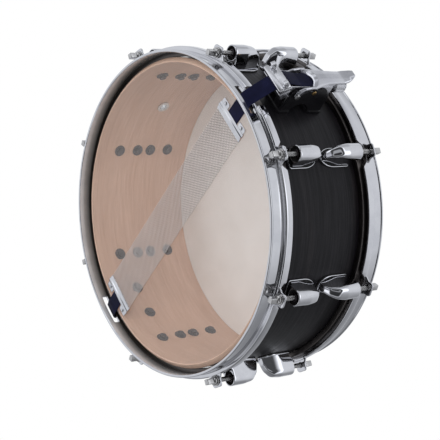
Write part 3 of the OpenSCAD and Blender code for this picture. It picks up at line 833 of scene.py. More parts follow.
# ---------- hoops ----------


def across_rod(angle):
    """Distance across from the nearest rod's plane, at the lip."""
    pitch = 2 * math.pi / RODS
    return LIP_R * math.sin(angle % pitch - pitch / 2)


def lip_edge_h(angle):
    """Height of the lower edge of the lip, which stops either side of an ear with sloping ends."""
    gap_half, gap_top_h, slope = 8.3, STEP_LOW_H - 0.3, 0.93
    return max(LIP_H, gap_top_h - slope * max(0, abs(across_rod(angle)) - gap_half))


def hoop_profile(angle):
    bead_r = WALL_R + 1
    low = lip_edge_h(angle)
    return rounded([
        (HOOP_R, STEP_LOW_H, 0.5), (HOOP_R, RIM_H, 1.1), (bead_r, RIM_H, 1.1), (bead_r, RIM_H - 2, 0.7),
        (WALL_R, RIM_H - 3, 0.7), (WALL_R, STEP_H, 0.9), (LIP_R, STEP_H, 1.7), (LIP_R, low, 0.7),
        (LIP_R - HOOP_T, low, 0.7), (LIP_R - HOOP_T, STEP_LOW_H, 0.6)
    ], 4)


def hoop_angles():
    """Angles round a hoop, closer together at the ends of the lip."""
    near = np.array([0, 3, 6, 7.6, 8.1, 8.6, 9.6, 11.5, 13.5, 14.8, 15.4, 16, 17]) / LIP_R
    half_pitch = math.pi / RODS
    offsets = np.concatenate((near, np.linspace(near[-1], half_pitch, 14)[1:]))
    one = np.concatenate((-offsets[::-1][1:-1], offsets))
    return np.concatenate([one + math.radians(rod_angle(i)) for i in range(1, RODS + 1)])


def ear():
    """Eye of the hoop for a rod, between the two faces of the step."""
    inset, inner_x = 0.15, WALL_R + 1.5
    ear_r = 7.9
    reach = ROD_CIRCLE_R + ear_r - 0.05
    outline = rounded([
        (inner_x, -13.4, 0.5), (LIP_R - 0.6, -11.5, 5), (ROD_CIRCLE_R, -ear_r, 6), (reach, -ear_r, ear_r),
        (reach, ear_r, ear_r), (ROD_CIRCLE_R, ear_r, 6), (LIP_R - 0.6, 11.5, 5), (inner_x, 13.4, 0.5)
    ], 9)
    inner_edge = np.column_stack((np.full(9, inner_x), np.linspace(12, -12, 9)))
    outline = np.concatenate((outline, inner_edge))
    return pierced(outline, ROD_AXIS, ROD_R + 0.6, STEP_LOW_H + inset, STEP_H - inset, 0.5)


def snare_gates():
    """Openings in the hoop wall and lip through which a strap leaves."""
    window = slab(rectangle((-20, 66.5), (20, 74), 1.5), -3, 4, 0)
    lip = slab(rectangle((-14, LIP_H - 3), (14, 66.5), 1), 0, 8, 0)
    for angle in (STRAINER, BUTT):
        place = drum_side(angle, -1)
        yield moved(window, place @ radial_face(HOOP_R))
        yield moved(lip, place @ radial_face(WALL_R + 0.02))


def build_hoop(name, side):
    mesh = moved(around_drum(hoop_profile, hoop_angles()), drum_side(0, side))
    hoop = add(name + "_steel", blender_mesh(name, mesh, 40))
    if side < 0:
        carve(hoop, list(snare_gates()), 40)
    ears = joined(*(moved(ear(), drum_side(rod_angle(i), side)) for i in range(1, RODS + 1)))
    settle(hoop, [HOOP_CHROME, HOOP_INSIDE_PAINTED_SHADE], "root", "hoop_chrome", name)
    # The inner wall faces take the inside plating with painted shade.
    second_material(hoop.data, lambda centre, normal: (
        math.hypot(centre.x, centre.y) < HOOP_R + 0.05 and abs(normal.z) < 0.3
    ))
    piece(name + "_ears", ears, HOOP_CHROME, "hoop_chrome", sharp=40)


# ---------- lugs, rods and fasteners ----------


def lug_foot(inner, outer, edge, recess=0):
    """Curved plate on the shell: rounded towards the middle of the drum, squarer at the rim."""
    low, high, half, round_h = 3.5, 42.5, 11, 18
    turn = np.linspace(0, math.pi, 33)
    nose = np.column_stack((half * np.cos(turn + math.pi), low + round_h - round_h * np.sin(turn)))
    tail = rounded([(half, low, 0), (half, high, 3), (-half, high, 3), (-half, low, 0)], 8)[1:-1]
    outline = np.concatenate((nose, tail))
    middle, normals, floor = outline.mean(0), outward(outline), outer - recess
    bead = [(0.75, outer), (0.9, outer - 0.2), (1.0, floor)] if recess else []
    rings = [
        *(level(middle + (outline - middle) * share, inner) for share in (0.02, 0.5)),
        *rim_rings(outline, inner, outer, edge),
        *(level(outline - normals * inset, depth) for inset, depth in bead),
        *(level(middle + (outline - middle) * share, floor) for share in (0.5, 0.02))
    ]
    verts, faces = capped(rings)
    return hugging(verts[:, [2, 0, 1]]), faces


def hugging(verts):
    """Bends a flat piece, x away from the drum axis and y across, onto the round shell."""
    verts = verts.copy()
    verts[:, 0] = np.sqrt(verts[:, 0] ** 2 - verts[:, 1] ** 2)
    return verts


def lug_sections():
    """Sections of a lug's body from its tip to its open end, each a closed outline in (x, y)."""
    tip_h, tip_half, grown_h = 4.6, 3.6, 29
    crown = rounded([
        (tip_h - 1, 176, 0), (tip_h, 187.5, 2), (8, 195.5, 4), (16, 202.8, 7), (27, 204.3, 8), (60, 204.3, 0)
    ], 8)
    heights = np.concatenate((
        np.linspace(tip_h, 7.5, 7), np.linspace(8.5, 30, 18), np.linspace(32, LUG_END_H - 0.8, 7)
    ))
    sections = []
    for h in heights:
        grown = min(1, (h - tip_h) / (grown_h - tip_h))
        half = tip_half + (RECEIVER_R - tip_half) * (1 - (1 - grown) ** 1.6)
        top = np.interp(h, crown[:, 0], crown[:, 1])
        shoulder = max(min(ROD_CIRCLE_R, top - 0.9 * half), FOOT_R + 1.5)
        foot = FOOT_R + 1 + 6.6 * max(0, min(1, (h - 38.5) / 4))
        foot = min(foot, shoulder - 0.5)
        power = 0.6 + 0.32 * (h - tip_h) / (LUG_END_H - tip_h)
        sections.append((h, lug_section(foot, shoulder, top, half, power)))
    return sections


def lug_section(foot, shoulder, top, half, power):
    t = np.linspace(-math.pi / 2, math.pi / 2, 29)
    bulge_y = half * np.sign(np.sin(t)) * np.abs(np.sin(t)) ** power
    bulge_x = shoulder + (top - shoulder) * np.abs(np.cos(t)) ** power
    side = np.linspace(foot, shoulder, 5)[:-1]
    left = np.column_stack((side, np.full(4, -half)))
    right = np.column_stack((side[::-1], np.full(4, half)))
    under = np.column_stack((np.full(5, foot), np.linspace(half, -half, 7)[1:-1]))
    return np.concatenate((left, np.column_stack((bulge_x, bulge_y)), right, under))


def lug_body():
    """Hollow-ended body of a lug, with the cup that the rod goes into."""
    sections = lug_sections()
    rings = [level(outline, h) for h, outline in sections]
    rays = sections[-1][1] - ROD_AXIS
    reach = np.linalg.norm(rays, axis=1)[:, None]
    rays /= reach
    for t in (30, 60, 90):
        inset, rise = 0.8 * (1 - math.cos(math.radians(t))), 0.8 * math.sin(math.radians(t))
        rings.append(level(ROD_AXIS + rays * (reach - inset), LUG_END_H - 0.8 + rise))
    for radius, h in (
        (8.3, LUG_END_H), (8.1, LUG_END_H - 0.1), (7.95, LUG_END_H - 0.5), (7.8, 41.2), (7.3, 40.6),
        (5.2, 40.5), (4.8, 40.3), (4.7, 38)
    ):
        rings.append(level(ROD_AXIS + rays * radius, h))
    return capped(rings)


def build_lugs():
    foot = lug_foot(FOOT_R, FOOT_R + 1.9, 0.5, 0.9)
    gasket = lug_foot(SHELL_R, FOOT_R, 0.2)
    for name, side in SIDES:
        place = drum_side(0, side)
        body = blender_mesh(f"{name}_lug", moved(lug_body(), place), 42)
        plate = blender_mesh(f"{name}_lug_foot", moved(foot, place), 42)
        for data in (body, plate):
            data.materials.append(LUG_CHROME)
            data.materials.append(POCKET_SHADE)
        # Painted shade: the rod cup inside each body and the recessed floor of each foot take the black pocket finish.
        second_material(body, lambda centre, normal: (
            math.hypot(centre.x - ROD_CIRCLE_R, centre.y) < 7.95 and 37 < (centre.z - MID) * side < 44.4
        ))
        second_material(plate, lambda centre, normal: (
            normal.x > 0.7 and math.hypot(centre.x, centre.y) < FOOT_R + 1.3
        ))
        cushion = blender_mesh(f"{name}_gasket", moved(gasket, place))
        cushion.materials.append(RUBBER)
        at_each_rod(f"{name}_lug_body", body, "lug_chrome", numbered=f"{name}_lug")
        at_each_rod(f"{name}_lug_foot", plate, "lug_chrome")
        at_each_rod(f"{name}_gasket", cushion, "gasket_rubber", shared="lug_gaskets" if side > 0 else "")


def rod_thread():
    """Threaded shank, its ridges winding up the rod."""
    low_h, high_h, pitch, depth, sides = 38.2, 60, 1.06, 0.28, 20
    rings = []
    for h in np.arange(low_h, high_h, pitch / 5):
        phase = (h / pitch - full_turn(sides) / (2 * math.pi)) % 1
        radius = ROD_R - depth * np.abs(2 * phase - 1)
        rings.append(level(circle(radius, sides, ROD_AXIS), h))
    return capped(rings)


def rod_shape():
    collar_h, collar_top_h, head_top_h = 65.65, 68.25, 77.5
    neck = turned(rounded([
        (0, 59.5, 0), (ROD_R - 0.05, 59.5, 0), (ROD_R - 0.05, collar_h, 0.3), (5.2, collar_h, 0.5),
        (5.2, collar_top_h - 0.4, 0.8), (3.6, collar_top_h + 0.3, 0.5), (0, collar_top_h + 0.3, 0)
    ], 3)[1:-1], 40, ROD_AXIS)
    half = 6.3 / 2
    square = rectangle((ROD_CIRCLE_R - half, -half), (ROD_CIRCLE_R + half, half), 0.7)
    head = slab(square, collar_top_h - 0.6, head_top_h, 0.6)
    return joined(rod_thread(), neck, head)


def build_rods():
    washer = pierced(circle(6.2, 40, ROD_AXIS), ROD_AXIS, 3.1, STEP_H, STEP_H + 1.2, 0.3)
    nut = pierced(circle(4.6, 32, ROD_AXIS), ROD_AXIS, 3, 38.4, 44.4, 0.6)
    for name, side in SIDES:
        for part, mesh, slot, material in (
            ("rod", rod_shape(), "plated_steel", NICKEL), ("washer", washer, "plated_steel", NICKEL),
            ("nut", nut, "dark_washer", DARK_WASHER)
        ):
            data = blender_mesh(f"{name}_{part}", moved(mesh, drum_side(0, side)), 40)
            data.materials.append(material)
            node = f"{name}_rod" if part == "rod" else ""
            shared = "rod_washers" if part == "washer" and side > 0 else ""
            at_each_rod(f"{name}_{part}_piece", data, slot, node, shared, rides=part == "rod")


# ---------- general moving parts ----------


def block(low, high, radius, edge):
    """Box with rounded edges between two (x, y, z) corners."""
    return slab(rectangle(low[:2], high[:2], radius), low[2], high[2], edge)


def cross_bar(radius, x, h, side, near, far, edge=0.4):
    """Round bar across the drum radius, between two distances to one side of the middle."""
    end = max(side * near, side * far)
    bar = slab(circle(radius, 40), 0, far - near, edge)
    return moved(bar, Matrix.Translation((x, end, h)) @ side_face(0))


def radial_bar(radius, from_x, to_x, y=0, h=0, edge=0.4):
    return moved(slab(circle(radius, 40, (y, h)), 0, to_x - from_x, edge), radial_face(from_x))


def saddle(half, low, high, corner, inner=SHELL_R, outer=SHELL_R + 4, edge=1.2):
    """Plate that hugs the shell, with rounded corners."""
    def profile(y):
        beyond = max(0, abs(y) - (half - corner))
        cut = corner - math.sqrt(max(0, corner**2 - beyond**2))
        return rounded([
            (inner, low + cut, 0.2), (outer, low + cut, edge),
            (outer, high - cut, edge), (inner, high - cut, 0.2)
        ], 3)

    turn = np.linspace(-math.pi / 2, math.pi / 2, 41)
    flat, ends = half - corner, np.sin(turn) * corner
    just_short = 0.9999
    ys = np.concatenate((ends[:20] - flat, np.linspace(-flat, flat, 15), ends[21:] + flat)) * just_short
    rings = []
    for y in ys:
        angle = math.asin(y / inner)
        radius, h = profile(y).T
        rings.append(np.column_stack((radius * math.cos(angle), radius * math.sin(angle), h)))
    return capped(rings)


# ---------- strainer ----------


def strainer_part(name, mesh, material, slot, body, replaces="", sharp=35):
    piece(name, moved(mesh, drum_side(STRAINER, -1)), material, slot, body, replaces, sharp)


def in_clamp():
    """Frame of the clamp: x away from the drum across the strap, z against the strap's run."""
    x, h = CLAMP_CENTRE
    return Matrix.Translation((x, 0, h)) @ Matrix.Rotation(-CLAMP_TILT, 4, "Y")


def build_base():
    """Black casting: two cheeks that stand on two feet, with an arch between the feet."""
    arch_r, arch_x, arch_h = 13.2, SHELL_R - 1, 2.2
    spring = math.asin(3 / arch_r)
    arch = [
        (arch_x + arch_r * math.sin(t), arch_h - arch_r * math.cos(t))
        for t in np.linspace(spring, math.pi - spring, 22)
    ]
    outer = rounded([
        (SHELL_R + 2, -30, 1), (SHELL_R + 2, 29, 1), (196.5, 26.5, 5), (207, 25.6, 4), (209, 17, 3),
        (211.2, 8, 2), (211.2, -20, 3), (203, -28, 6)
    ], 5)
    cheek = np.concatenate((outer[:6], arch, outer[6:]))
    feet = ((-31, arch_h - arch_r + 0.3), (arch_h + arch_r - 0.3, 31))
    parts = [saddle(14.5, *foot, 3) for foot in feet]
    for side in (-1, 1):
        middle = side * (CHEEK[0] + CHEEK[1]) / 2
        thickness = (CHEEK[1] - CHEEK[0]) / 2
        parts.append(moved(slab(cheek, -thickness, thickness, 0.7), side_face(middle)))
        parts.append(cross_bar(5.2, *PIVOT, side, CHEEK[0], CHEEK[1] + 0.2))
    for h in (-23, 23):
        parts.append(radial_bar(5, SHELL_R + 1, 189, 0, h, 0.8))
    strainer_part("throw_off_casting", joined(*parts), ENAMEL, "black_base", "root", "throw_off_base")
    pins = []
    for side in (-1, 1):
        pins.append(cross_bar(2, *PIVOT, side, CHEEK[0], ARM[1]))
        pins.append(cross_bar(3.4, *PIVOT, side, ARM[1] + 0.15, ARM[1] + 1.5, 0.7))
    strainer_part("lever_pivot_pins", joined(*pins), NICKEL, "plated_steel", "root", "lever_pins")
    bushes = [cross_bar(2.8, 206.5, -4, side, CHEEK[0] + 1, CHEEK[1] + 0.9, 0.6) for side in (-1, 1)]
    strainer_part("brass_bushes", joined(*bushes), BRASS, "brass", "root", "brass_inserts")


def build_yoke():
    slide = block((198, -9.7, -30), (212.9, 9.7, 30), 1.2, 0.8)
    tongues = block((198.1, -10.9, -29.5), (200.4, 10.9, 29.5), 0.4, 0.3)
    strainer_part("lift_slide", joined(slide, tongues), YOKE_METAL, "yoke_metal", "yoke", "lift_yoke")


def along_lever(points, h):
    """Value at a height h from (h, value, radius) corners given from the tip to the mouth."""
    line = rounded(points, 6)
    return float(np.interp(h, line[:, 0], line[:, 1]))


def lever_top(h):
    return along_lever([
        (-90, 240, 0), (-60, 226.2, 8), (-52, 222.4, 8), (-44, 220.3, 8), (-20, 220, 6), (-4, 219.2, 4),
        (3, 218.3, 4), (12, 216.6, 0)
    ], h)


def lever_half(h):
    half = float(np.interp(h, [-58, -46, -36, -20, -10, 2, 12], [8, 9.2, 9.2, 10.3, 12.3, 15.8, 15.8]))
    beyond = min(0.985, max(0, (-48 - h) / 12))
    return half * math.sqrt(1 - beyond**2)


def lever_low(h):
    """Lower edge of the side walls, which stop short of the handle."""
    wall = float(np.interp(h, [-32, -28], [0, 1]))
    return (1 - wall) * (lever_top(h) - 2.3) + wall * 213.8


def lever_mouth(y):
    """Edge of the crescent-shaped opening of the lever, as a height."""
    return min(9, 13.6 - math.sqrt(17.5**2 - min(abs(y), 17) ** 2))


def lever_h(t, y):
    """Height of a point of the lever; t is 0 at the mouth, 0.4 at the neck and 1 at the tip."""
    neck_h, tip_h, neck_t = -20, -58.2, 0.4
    if t < neck_t:
        mouth = lever_mouth(y)
        return mouth + (neck_h - mouth) * t / neck_t
    return neck_h + (tip_h - neck_h) * (t - neck_t) / (1 - neck_t)


def lever_section(t, skin):
    """A section of the lever's skin: a flat middle facet, two sloping ones and the side walls."""
    facet, slope, turn_in = 3.4, 0.2, 1.8
    share = np.concatenate((
        np.linspace(1, 0.86, 6), np.linspace(0.8, 0.45, 4), [0.36, 0.30], np.linspace(0.2, 0, 3)
    ))
    share = np.concatenate((-share, share[-2::-1]))
    points = []
    for s in share:
        h = lever_h(t, s * ARM[1])
        half = max(lever_half(h) - skin, 0.3)
        y = s * half
        corner = max(0, (abs(s) - 0.86) / 0.14)
        drop = slope * max(0, abs(y) - facet) + turn_in * (1 - math.sqrt(1 - corner**2))
        drop += MOUTH_BEVEL * max(0, 1 - t / MOUTH_BEVEL_T)
        points.append((lever_top(h) - skin - drop, y, h))
    h = lever_h(t, ARM[1])
    half = max(lever_half(h) - skin, 0.3)
    low = min(lever_low(h), points[0][0] - 0.1)
    walls = [[(low, side * half, h), ((low + points[0][0]) / 2, side * half, h)] for side in (-1, 1)]
    return walls[0] + points + walls[1][::-1]


def build_lever():
    skin = 2.0
    rings = []
    steps = np.concatenate((
        [0, 0.012, 0.045, 0.082, 0.09, 0.096], np.linspace(0.12, 0.4, 11), np.linspace(0.43, 0.8, 16),
        np.linspace(0.82, 1, 14)
    ))
    for t in steps:
        outer = lever_section(t, 0)
        inner = lever_section(min(t, 0.97), skin)
        rings.append(np.array(outer + inner[::-1]))
    arm = rounded([
        (PIVOT[0] - 3.6, PIVOT[1] - 2.2, 3), (PIVOT[0] - 1.5, PIVOT[1] + 4, 3.4), (211, 21.8, 6),
        (215, 15, 8), (216.7, 7, 4), (216.9, -0.5, 1), (213.8, -3, 3), (211.5, 6, 8), (207, 14, 6)
    ], 6)
    parts = [capped(rings)]
    thickness = (ARM[1] - ARM[0]) / 2
    for side in (-1, 1):
        parts.append(moved(slab(arm, -thickness, thickness, 0.9), side_face(side * (ARM[0] + thickness))))
    strainer_part("lever_casting", joined(*parts), CAST_CHROME, "cast_chrome", "lever", "throw_off_lever", 30)


def build_knob():
    """Grooved knob with a coin slot in its face, and its screw up into the clamp."""
    low, high, radius, grips = -53, -37, 8.5, 16
    count = grips * 10
    groove = 0.75 * np.clip(np.cos(full_turn(count) * grips), 0, 1) ** 3
    rings = []
    for h, r, cut in (
        (low, 0.1, 0), (low, 4, 0), (low, 7.2, 0), (low + 0.4, 7.9, 0), (low + 1.1, 8.35, 0),
        (low + 1.6, radius, 0), (low + 2.4, radius, 1), (low + 5, radius, 1), (high - 5, radius, 1),
        (high - 2.4, radius, 1), (high - 1.6, radius, 0), (high - 0.7, 8.3, 0), (high, 7.6, 0),
        (high + 0.2, 5.4, 0), (high + 0.6, 5, 0), (high + 6.2, 5, 0), (high + 6.6, 4.4, 0),
        (high + 6.7, 2.95, 0), (41.4, 2.95, 0), (41.5, 0.1, 0)
    ):
        rings.append(level(circle(r - groove * cut, count, (SCREW_R, 0)), h))
    place = drum_side(STRAINER, -1)
    knob = add("adjusting_knob", blender_mesh("adjusting_knob", moved(capped(rings), place), 35))
    slot_cut = slab(rectangle((-12, -1), (12, 1), 0.2), -3, 2.2, 0)
    carve(knob, [moved(slot_cut, place @ Matrix.Translation((SCREW_R, 0, low)))], 35)
    settle(knob, [KNOB_METAL], "knob", "knob_metal", "tension_knob")


def key_screw(tip, seat):
    """Clamping screw along x, from its tip to its square head."""
    disc = radial_bar(3.6, seat, seat + 1.8, 0, 0, 0.6)
    shank = radial_bar(2, tip, seat + 0.5)
    head = moved(slab(rectangle((-2.6, -2.6), (2.6, 2.6), 0.6), 0, 6.2, 0.6), radial_face(seat + 1.4))
    return joined(shank, disc, head)


def build_clamp():
    place = drum_side(STRAINER, -1)
    body = block((-9, -18, -7.5), (-0.45, 18, 7.5), 1, 0.8)
    clamp = add("clamp_block", blender_mesh("clamp_block", moved(moved(body, in_clamp()), place)))
    below = block((180, -30, 20), (240, 30, 38), 0.5, 0)
    carve(clamp, [moved(below, place)], 35)
    settle(clamp, [CAST_CHROME], "clamp", "cast_chrome", "strap_clamp")
    boss = slab(circle(5.6, 48, (SCREW_R, 0)), 33, 39.5, 0.8)
    strainer_part("clamp_boss", boss, CAST_CHROME, "cast_chrome", "clamp")
    plate = moved(joined(
        block((0.45, -18, -7.5), (4.05, 18, 4), 1.2, 0.9),
        block((0.45, -18.6, 1.6), (6.85, 18.6, 7.5), 1.3, 1.1)
    ), in_clamp())
    strainer_part("clamp_front_plate", plate, CLAMP_CHROME, "hoop_chrome", "clamp", "clamp_plate")
    screws = joined(*(
        moved(key_screw(-6, 4.05), in_clamp() @ Matrix.Translation((0, y, -2.6))) for y in (-14, 14)
    ))
    strainer_part("clamp_key_screws", screws, CLAMP_CHROME, "plated_steel", "clamp", "clamp_screws")


# ---------- straps and snares ----------


def lengths_along(line):
    """Length along a line at each of its points."""
    return np.concatenate(([0], np.cumsum(np.linalg.norm(np.diff(line, axis=0), axis=1))))


def length_of(line):
    return float(lengths_along(line)[-1])


def points_at(line, lengths):
    """Points of a line at lengths along it, in order and without repeats."""
    places = np.unique(lengths)
    return np.column_stack([np.interp(places, lengths_along(line), line[:, k]) for k in (0, 1)])


def reach_to(line, point):
    """Length along a line as far as its nearest place to a point."""
    return float(lengths_along(line)[np.linalg.norm(line - point, axis=1).argmin()])


def strap_line(corners, radius):
    """Smooth line in the radial plane through (distance, height) corners."""
    ends = [(*corners[0], 0), *((x, h, radius) for x, h in corners[1:-1]), (*corners[-1], 0)]
    spare = [(corners[-1][0] + 400, corners[-1][1] - 300, 0), (corners[0][0], corners[0][1] - 400, 0)]
    line = rounded(ends + spare, 6)[:-2]
    place = lengths_along(line)
    return points_at(line, np.concatenate((place, np.arange(0, place[-1], 1.5))))


def cut_line(line, start, end):
    """Part of a line between two lengths along it."""
    place = lengths_along(line)
    return points_at(line, np.concatenate(([start, end], place[(place > start) & (place < end)])))


def ribbon(line):
    """Flat strap along a line in the radial plane."""
    section = rectangle((-STRAP_W / 2, -STRAP_T / 2), (STRAP_W / 2, STRAP_T / 2), 0.35, 3)
    rings = []
    for point, up in zip(line, line_normals(line)):
        flat = point + section[:, 1:2] * up
        rings.append(np.column_stack((flat[:, 0], section[:, 0], flat[:, 1])))
    return capped(rings)


def strap_piece(name, angle, line, bodies, replaces=""):
    """A run of strap that rides on one body, or bends between two that a joint joins."""
    place = drum_side(angle, -1)
    obj = add(name, blender_mesh(name, moved(ribbon(line), place), 50))
    obj.data.materials.append(STRAP_WEAVE)
    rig.slot(obj, "strap_fabric")
    if len(bodies) == 1:
        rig.ride(obj, bodies[0])
    else:
        start, end = (place @ Vector((x, 0, h)) * MM for x, h in (line[0], line[-1]))
        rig.blend(obj, *bodies, start, end)
    if replaces:
        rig.replaces(obj, replaces)
    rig.sheet(obj, flat=(STRAP_W * MM, length_of(line) * MM), held="stretched")


def build_straps():
    start, over_edge = (PLATE_END - 6, WIRE_H + 0.1), (176, WIRE_H - 0.6)
    centre = np.array(CLAMP_CENTRE)
    run = np.array((math.sin(CLAMP_TILT), -math.cos(CLAMP_TILT))) * 8
    gate = (186, 69)
    line = strap_line([
        start, over_edge, gate, tuple(centre - run), tuple(centre + run),
        (216.6, 32), (213.9, 16), (213.9, -6.5)
    ], 3)
    gate_at, clamp_at = reach_to(line, gate), reach_to(line, centre) - 9.5
    lift_at = gate_at + 0.6 * (clamp_at - gate_at)
    for name, low, high, bodies in (
        ("inner", 0, gate_at, ("snares", "root")),
        ("outer", gate_at, lift_at, ("root", "yoke")),
        ("middle", lift_at, clamp_at, ("yoke", "clamp")),
        ("tail", clamp_at, length_of(line), ("clamp",)),
    ):
        replaced = "strainer_strap" if name == "inner" else ""
        strap_piece("strainer_strap_" + name, STRAINER, cut_line(line, low, high), bodies, replaced)
    gate = (186, 68.7)
    line = strap_line([start, over_edge, gate, (189.6, 61), (189.6, 20)], 3)
    gate_at = reach_to(line, gate)
    strap_piece("butt_strap_inner", BUTT, cut_line(line, 0, gate_at), ("snares", "root"), "butt_strap")
    strap_piece("butt_strap_outer", BUTT, cut_line(line, gate_at, length_of(line)), ("root",))


def snare_coils():
    """Twenty-four wound strands, each a helix of fine wire."""
    strands, pitch, strand_r, wire_r = 24, 2.1, 1.04, 0.36
    coil_r, coil_pitch, per_turn, sides = strand_r - wire_r, 3.4, 8, 4
    chance = np.random.default_rng(7)
    length = 2 * WIRE_HALF + 4
    phase = np.arange(int(length / coil_pitch * per_turn)) * 2 * math.pi / per_turn
    meshes = []
    for k in range(strands):
        turn = phase + k % 2 * math.pi + chance.uniform(-0.15, 0.15)
        y = (k - (strands - 1) / 2) * pitch
        along = phase / (2 * math.pi) * coil_pitch - length / 2
        radial = np.column_stack((np.zeros(len(turn)), np.cos(turn), np.sin(turn)))
        centre = np.column_stack((along, np.full(len(turn), y), np.full(len(turn), WIRE_H))) + coil_r * radial
        rings = [
            centre + wire_r * (math.cos(a) * radial + math.sin(a) * np.array((1.0, 0, 0)))
            for a in full_turn(sides)
        ]
        meshes.append(capped(np.stack(rings, 1)))
    return joined(*meshes)


def end_plate():
    """Plate at the end of the snares: a ribbed strip with an ear at each side of the strap."""
    low = WIRE_H - 0.6
    strip = rounded([
        (WIRE_HALF, low, 0.3), (WIRE_HALF, WIRE_H + 1.0, 0.5), (150.6, WIRE_H + 1.3, 0.6),
        (151.5, WIRE_H + 2.1, 0.6), (153.2, WIRE_H + 2.1, 0.6), (154.1, WIRE_H + 1.2, 0.6),
        (157, WIRE_H + 0.9, 0.5), (157, low, 0.3)
    ], 4)
    parts = [moved(slab(strip, -26, 26, 0.6), side_face(0))]
    for side in (-1, 1):
        low_y, high_y = sorted((side * 11.6, side * 25))
        parts.append(block((155.5, low_y, low), (PLATE_END, high_y, WIRE_H + 0.7), 2, 0.5))
        dome = turned([
            (0.01, 1.5), (1.2, 1.4), (2, 0.9), (2.3, 0.2), (2.3, -0.3), (0.01, -0.3)
        ], 24, (159.6, side * 18.3))
        parts.append(moved(dome, Matrix.Translation((0, 0, WIRE_H + 0.7))))
    return joined(*parts)


def build_snares():
    strainer_part("snare_coils", snare_coils(), SNARE_STEEL_PAINTED_LIGHT, "snare_steel", "snares", "snare_wires", 60)
    plates = joined(end_plate(), moved(end_plate(), Matrix.Diagonal((-1, 1, 1, 1))))
    strainer_part("snare_plates", plates, PLATE_CHROME, "plate_chrome", "snares", "snare_end_plates")


def build_butt():
    face = 189.6 - STRAP_T / 2 - 0.05
    place = drum_side(BUTT, -1)
    block_outline = rectangle((-17, 18), (17, 38), 4, 6)
    raised = moved(slab(block_outline, 0, face - SHELL_R - 2, 0.8), radial_face(SHELL_R + 2))
    body = joined(saddle(28, 14, 40, 6), raised)
    piece("butt_casting", moved(body, place), CAST_CHROME, "cast_chrome", "root", "butt_body")
    front = slab(rectangle((-17, 21), (17, 37), 3, 6), 0, 3, 0.9)
    front = moved(front, radial_face(face + STRAP_T + 0.1))
    piece("butt_front_plate", moved(front, place), LUG_CHROME, "hoop_chrome", "root", "butt_plate")
    screws = joined(*(
        moved(key_screw(184, face + STRAP_T + 3.1), Matrix.Translation((0, y, 29))) for y in (-13, 13)
    ))
    piece("butt_key_screws", moved(screws, place), NICKEL, "plated_steel", "root", "butt_clamp_screws")


def build_small_parts():
    """CAD nodes that are kept, with their finish."""
    for name, material in (
        ("vent_grommet", NICKEL), ("mounting_screws", DARK_WASHER), ("screw_washers", DARK_WASHER)
    ):
        data = frame["nodes"][name].data
        data.materials.clear()
        data.materials.append(material)


# ---------- camera, light and floor ----------


def build_camera():
    """Looks up at the snare side from below, rolled so that the drum seems to stand on its edge."""
    azimuth, elevation, roll = math.radians(-7.401), math.radians(-38.068), math.radians(-85.692)
    target, distance = Vector((0.00071, 0.01111, 0.07987)), 1.3795
    back = Matrix.Rotation(azimuth, 3, "Z") @ Matrix.Rotation(-elevation, 3, "Y") @ Vector((1, 0, 0))
    level_axes = (-back).to_track_quat("-Z", "Y").to_matrix().to_4x4()
    camera = add("camera", bpy.data.cameras.new("camera"))
    camera.matrix_world = (
        Matrix.Translation(target + back * distance) @ level_axes @ Matrix.Rotation(-roll, 4, "Z")
    )
    camera.data.lens, camera.data.sensor_width = 95.84, 36
    camera.data.clip_start, camera.data.clip_end = 0.05, 20
    bpy.context.scene.camera = camera


def build_floor():
    """Pale floor under the rim. It shows from above only, so that the drum can be seen from below."""
    size = 2500
    corners = [(-size, -size, -0.3), (size, -size, -0.3), (size, size, -0.3), (-size, size, -0.3)]
    floor = add("floor", blender_mesh("floor", (np.array(corners, float), [(0, 1, 2, 3)])))
    stops = [(0.3, (0.80, 0.80, 0.80)), (0.7, (0.83, 0.83, 0.83))]
    finish = surface("pale_floor", {"Specular IOR Level": 0.2}, (4, 3), stops, (4, 3), (0.7, 0.8))
    clear = finish.node("ShaderNodeBsdfTransparent")
    swap = finish.node("ShaderNodeMixShader")
    finish.link(finish.node("ShaderNodeNewGeometry").outputs["Backfacing"], swap.inputs[0])
    finish.link(finish.shader.outputs[0], swap.inputs[1])
    finish.link(clear.outputs[0], swap.inputs[2])
    finish.link(swap.outputs[0], finish.out.inputs[0])
    floor.data.materials.append(finish.material)
    for ray in ("diffuse", "glossy", "transmission", "shadow"):
        setattr(floor, "visible_" + ray, False)
    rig.stage(floor)


def area_light(name, place, size, watts):
    """Square light at a place, aimed at the middle of the drum."""
    light = bpy.data.lights.new(name, "AREA")
    light.shape, light.size, light.size_y, light.energy = "RECTANGLE", size, size, watts
    aim = (Vector((0, 0, 0.08)) - Vector(place)).to_track_quat("-Z", "Y")
    obj = add(name, light, Matrix.Translation(place) @ aim.to_matrix().to_4x4())
    obj.visible_camera = obj.visible_glossy = False


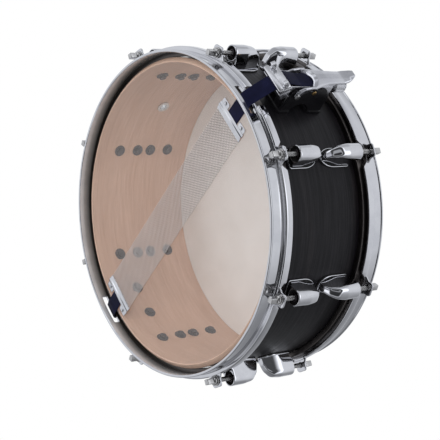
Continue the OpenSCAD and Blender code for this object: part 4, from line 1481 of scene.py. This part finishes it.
def build_light():
    """White to the camera. Lit and mirrored surfaces see a grey room with light and dark bands."""
    world = bpy.data.worlds.new("studio")
    bpy.context.scene.world = world
    studio = Nodes(world)
    direction = studio.node("ShaderNodeTexCoord").outputs["Generated"]

    def levels(axis, stops):
        """Grey levels by how far a direction points along an axis, from -1 to 1."""
        dot = studio.node("ShaderNodeVectorMath", {1: axis}, operation="DOT_PRODUCT")
        studio.link(direction, dot.inputs[0])
        share = studio.spread(dot.outputs["Value"], 0, 1, -1, 1)
        return studio.ramp(share, [((at + 1) / 2, (grey,) * 3) for at, grey in stops])

    room = levels((0.78, -0.10, -0.62), [
        (-1, 0.52), (0.29, 0.52), (0.34, 1), (0.45, 1), (0.52, 0.4), (0.58, 0.05), (0.85, 0.05),
        (0.88, 0.3), (0.93, 0.3), (0.96, 0.05), (1, 0.02)
    ])
    ground = levels((0, 1, 0), [
        (-1, 0.5), (-0.78, 0.62), (-0.66, 0.88), (-0.2, 0.95), (0.35, 0.85), (0.7, 0.4), (1, 0.2)
    ])
    tinted = studio.mix(1, studio.mix(1, room, ground, "MULTIPLY"), (0.70, 0.72, 0.76), "MULTIPLY")
    cast = studio.node("ShaderNodeBackground", {"Strength": 2})
    seen = studio.node("ShaderNodeBackground", {"Color": (1, 1, 1, 1)})
    choose, out = studio.node("ShaderNodeMixShader"), studio.node("ShaderNodeOutputWorld")
    studio.link(tinted, cast.inputs["Color"])
    studio.link(studio.node("ShaderNodeLightPath").outputs["Is Camera Ray"], choose.inputs[0])
    studio.link(cast.outputs[0], choose.inputs[1])
    studio.link(seen.outputs[0], choose.inputs[2])
    studio.link(choose.outputs[0], out.inputs[0])
    area_light("softbox_above", (-0.3, -0.3, 1.6), 1.4, 10)
    area_light("softbox_front", (1.15, -0.45, -1.1), 1.6, 23)
    area_light("softbox_left", (-0.8, -0.5, -1.3), 1.2, 10)
    bpy.context.scene.view_settings.view_transform = "Standard"


build_camera()
build_shell()
build_head("batter_head", 1, COATED_FILM, "coated_film")
build_head("snare_head", -1, CLEAR_FILM, "clear_film")
build_flesh_hoop("batter_flesh_hoop", 1)
build_flesh_hoop("snare_flesh_hoop", -1)
build_hoop("batter_hoop", 1)
build_hoop("snare_hoop", -1)
build_lugs()
build_rods()
build_base()
build_yoke()
build_lever()
build_knob()
build_clamp()
build_straps()
build_snares()
build_butt()
build_small_parts()
build_floor()
build_light()

MODEL_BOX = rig.bounds()
with open("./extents.json", "w") as f:
    json.dump({
        "cad": [list(corner) for corner in CAD_BOX], "visual": [list(corner) for corner in MODEL_BOX]
    }, f)
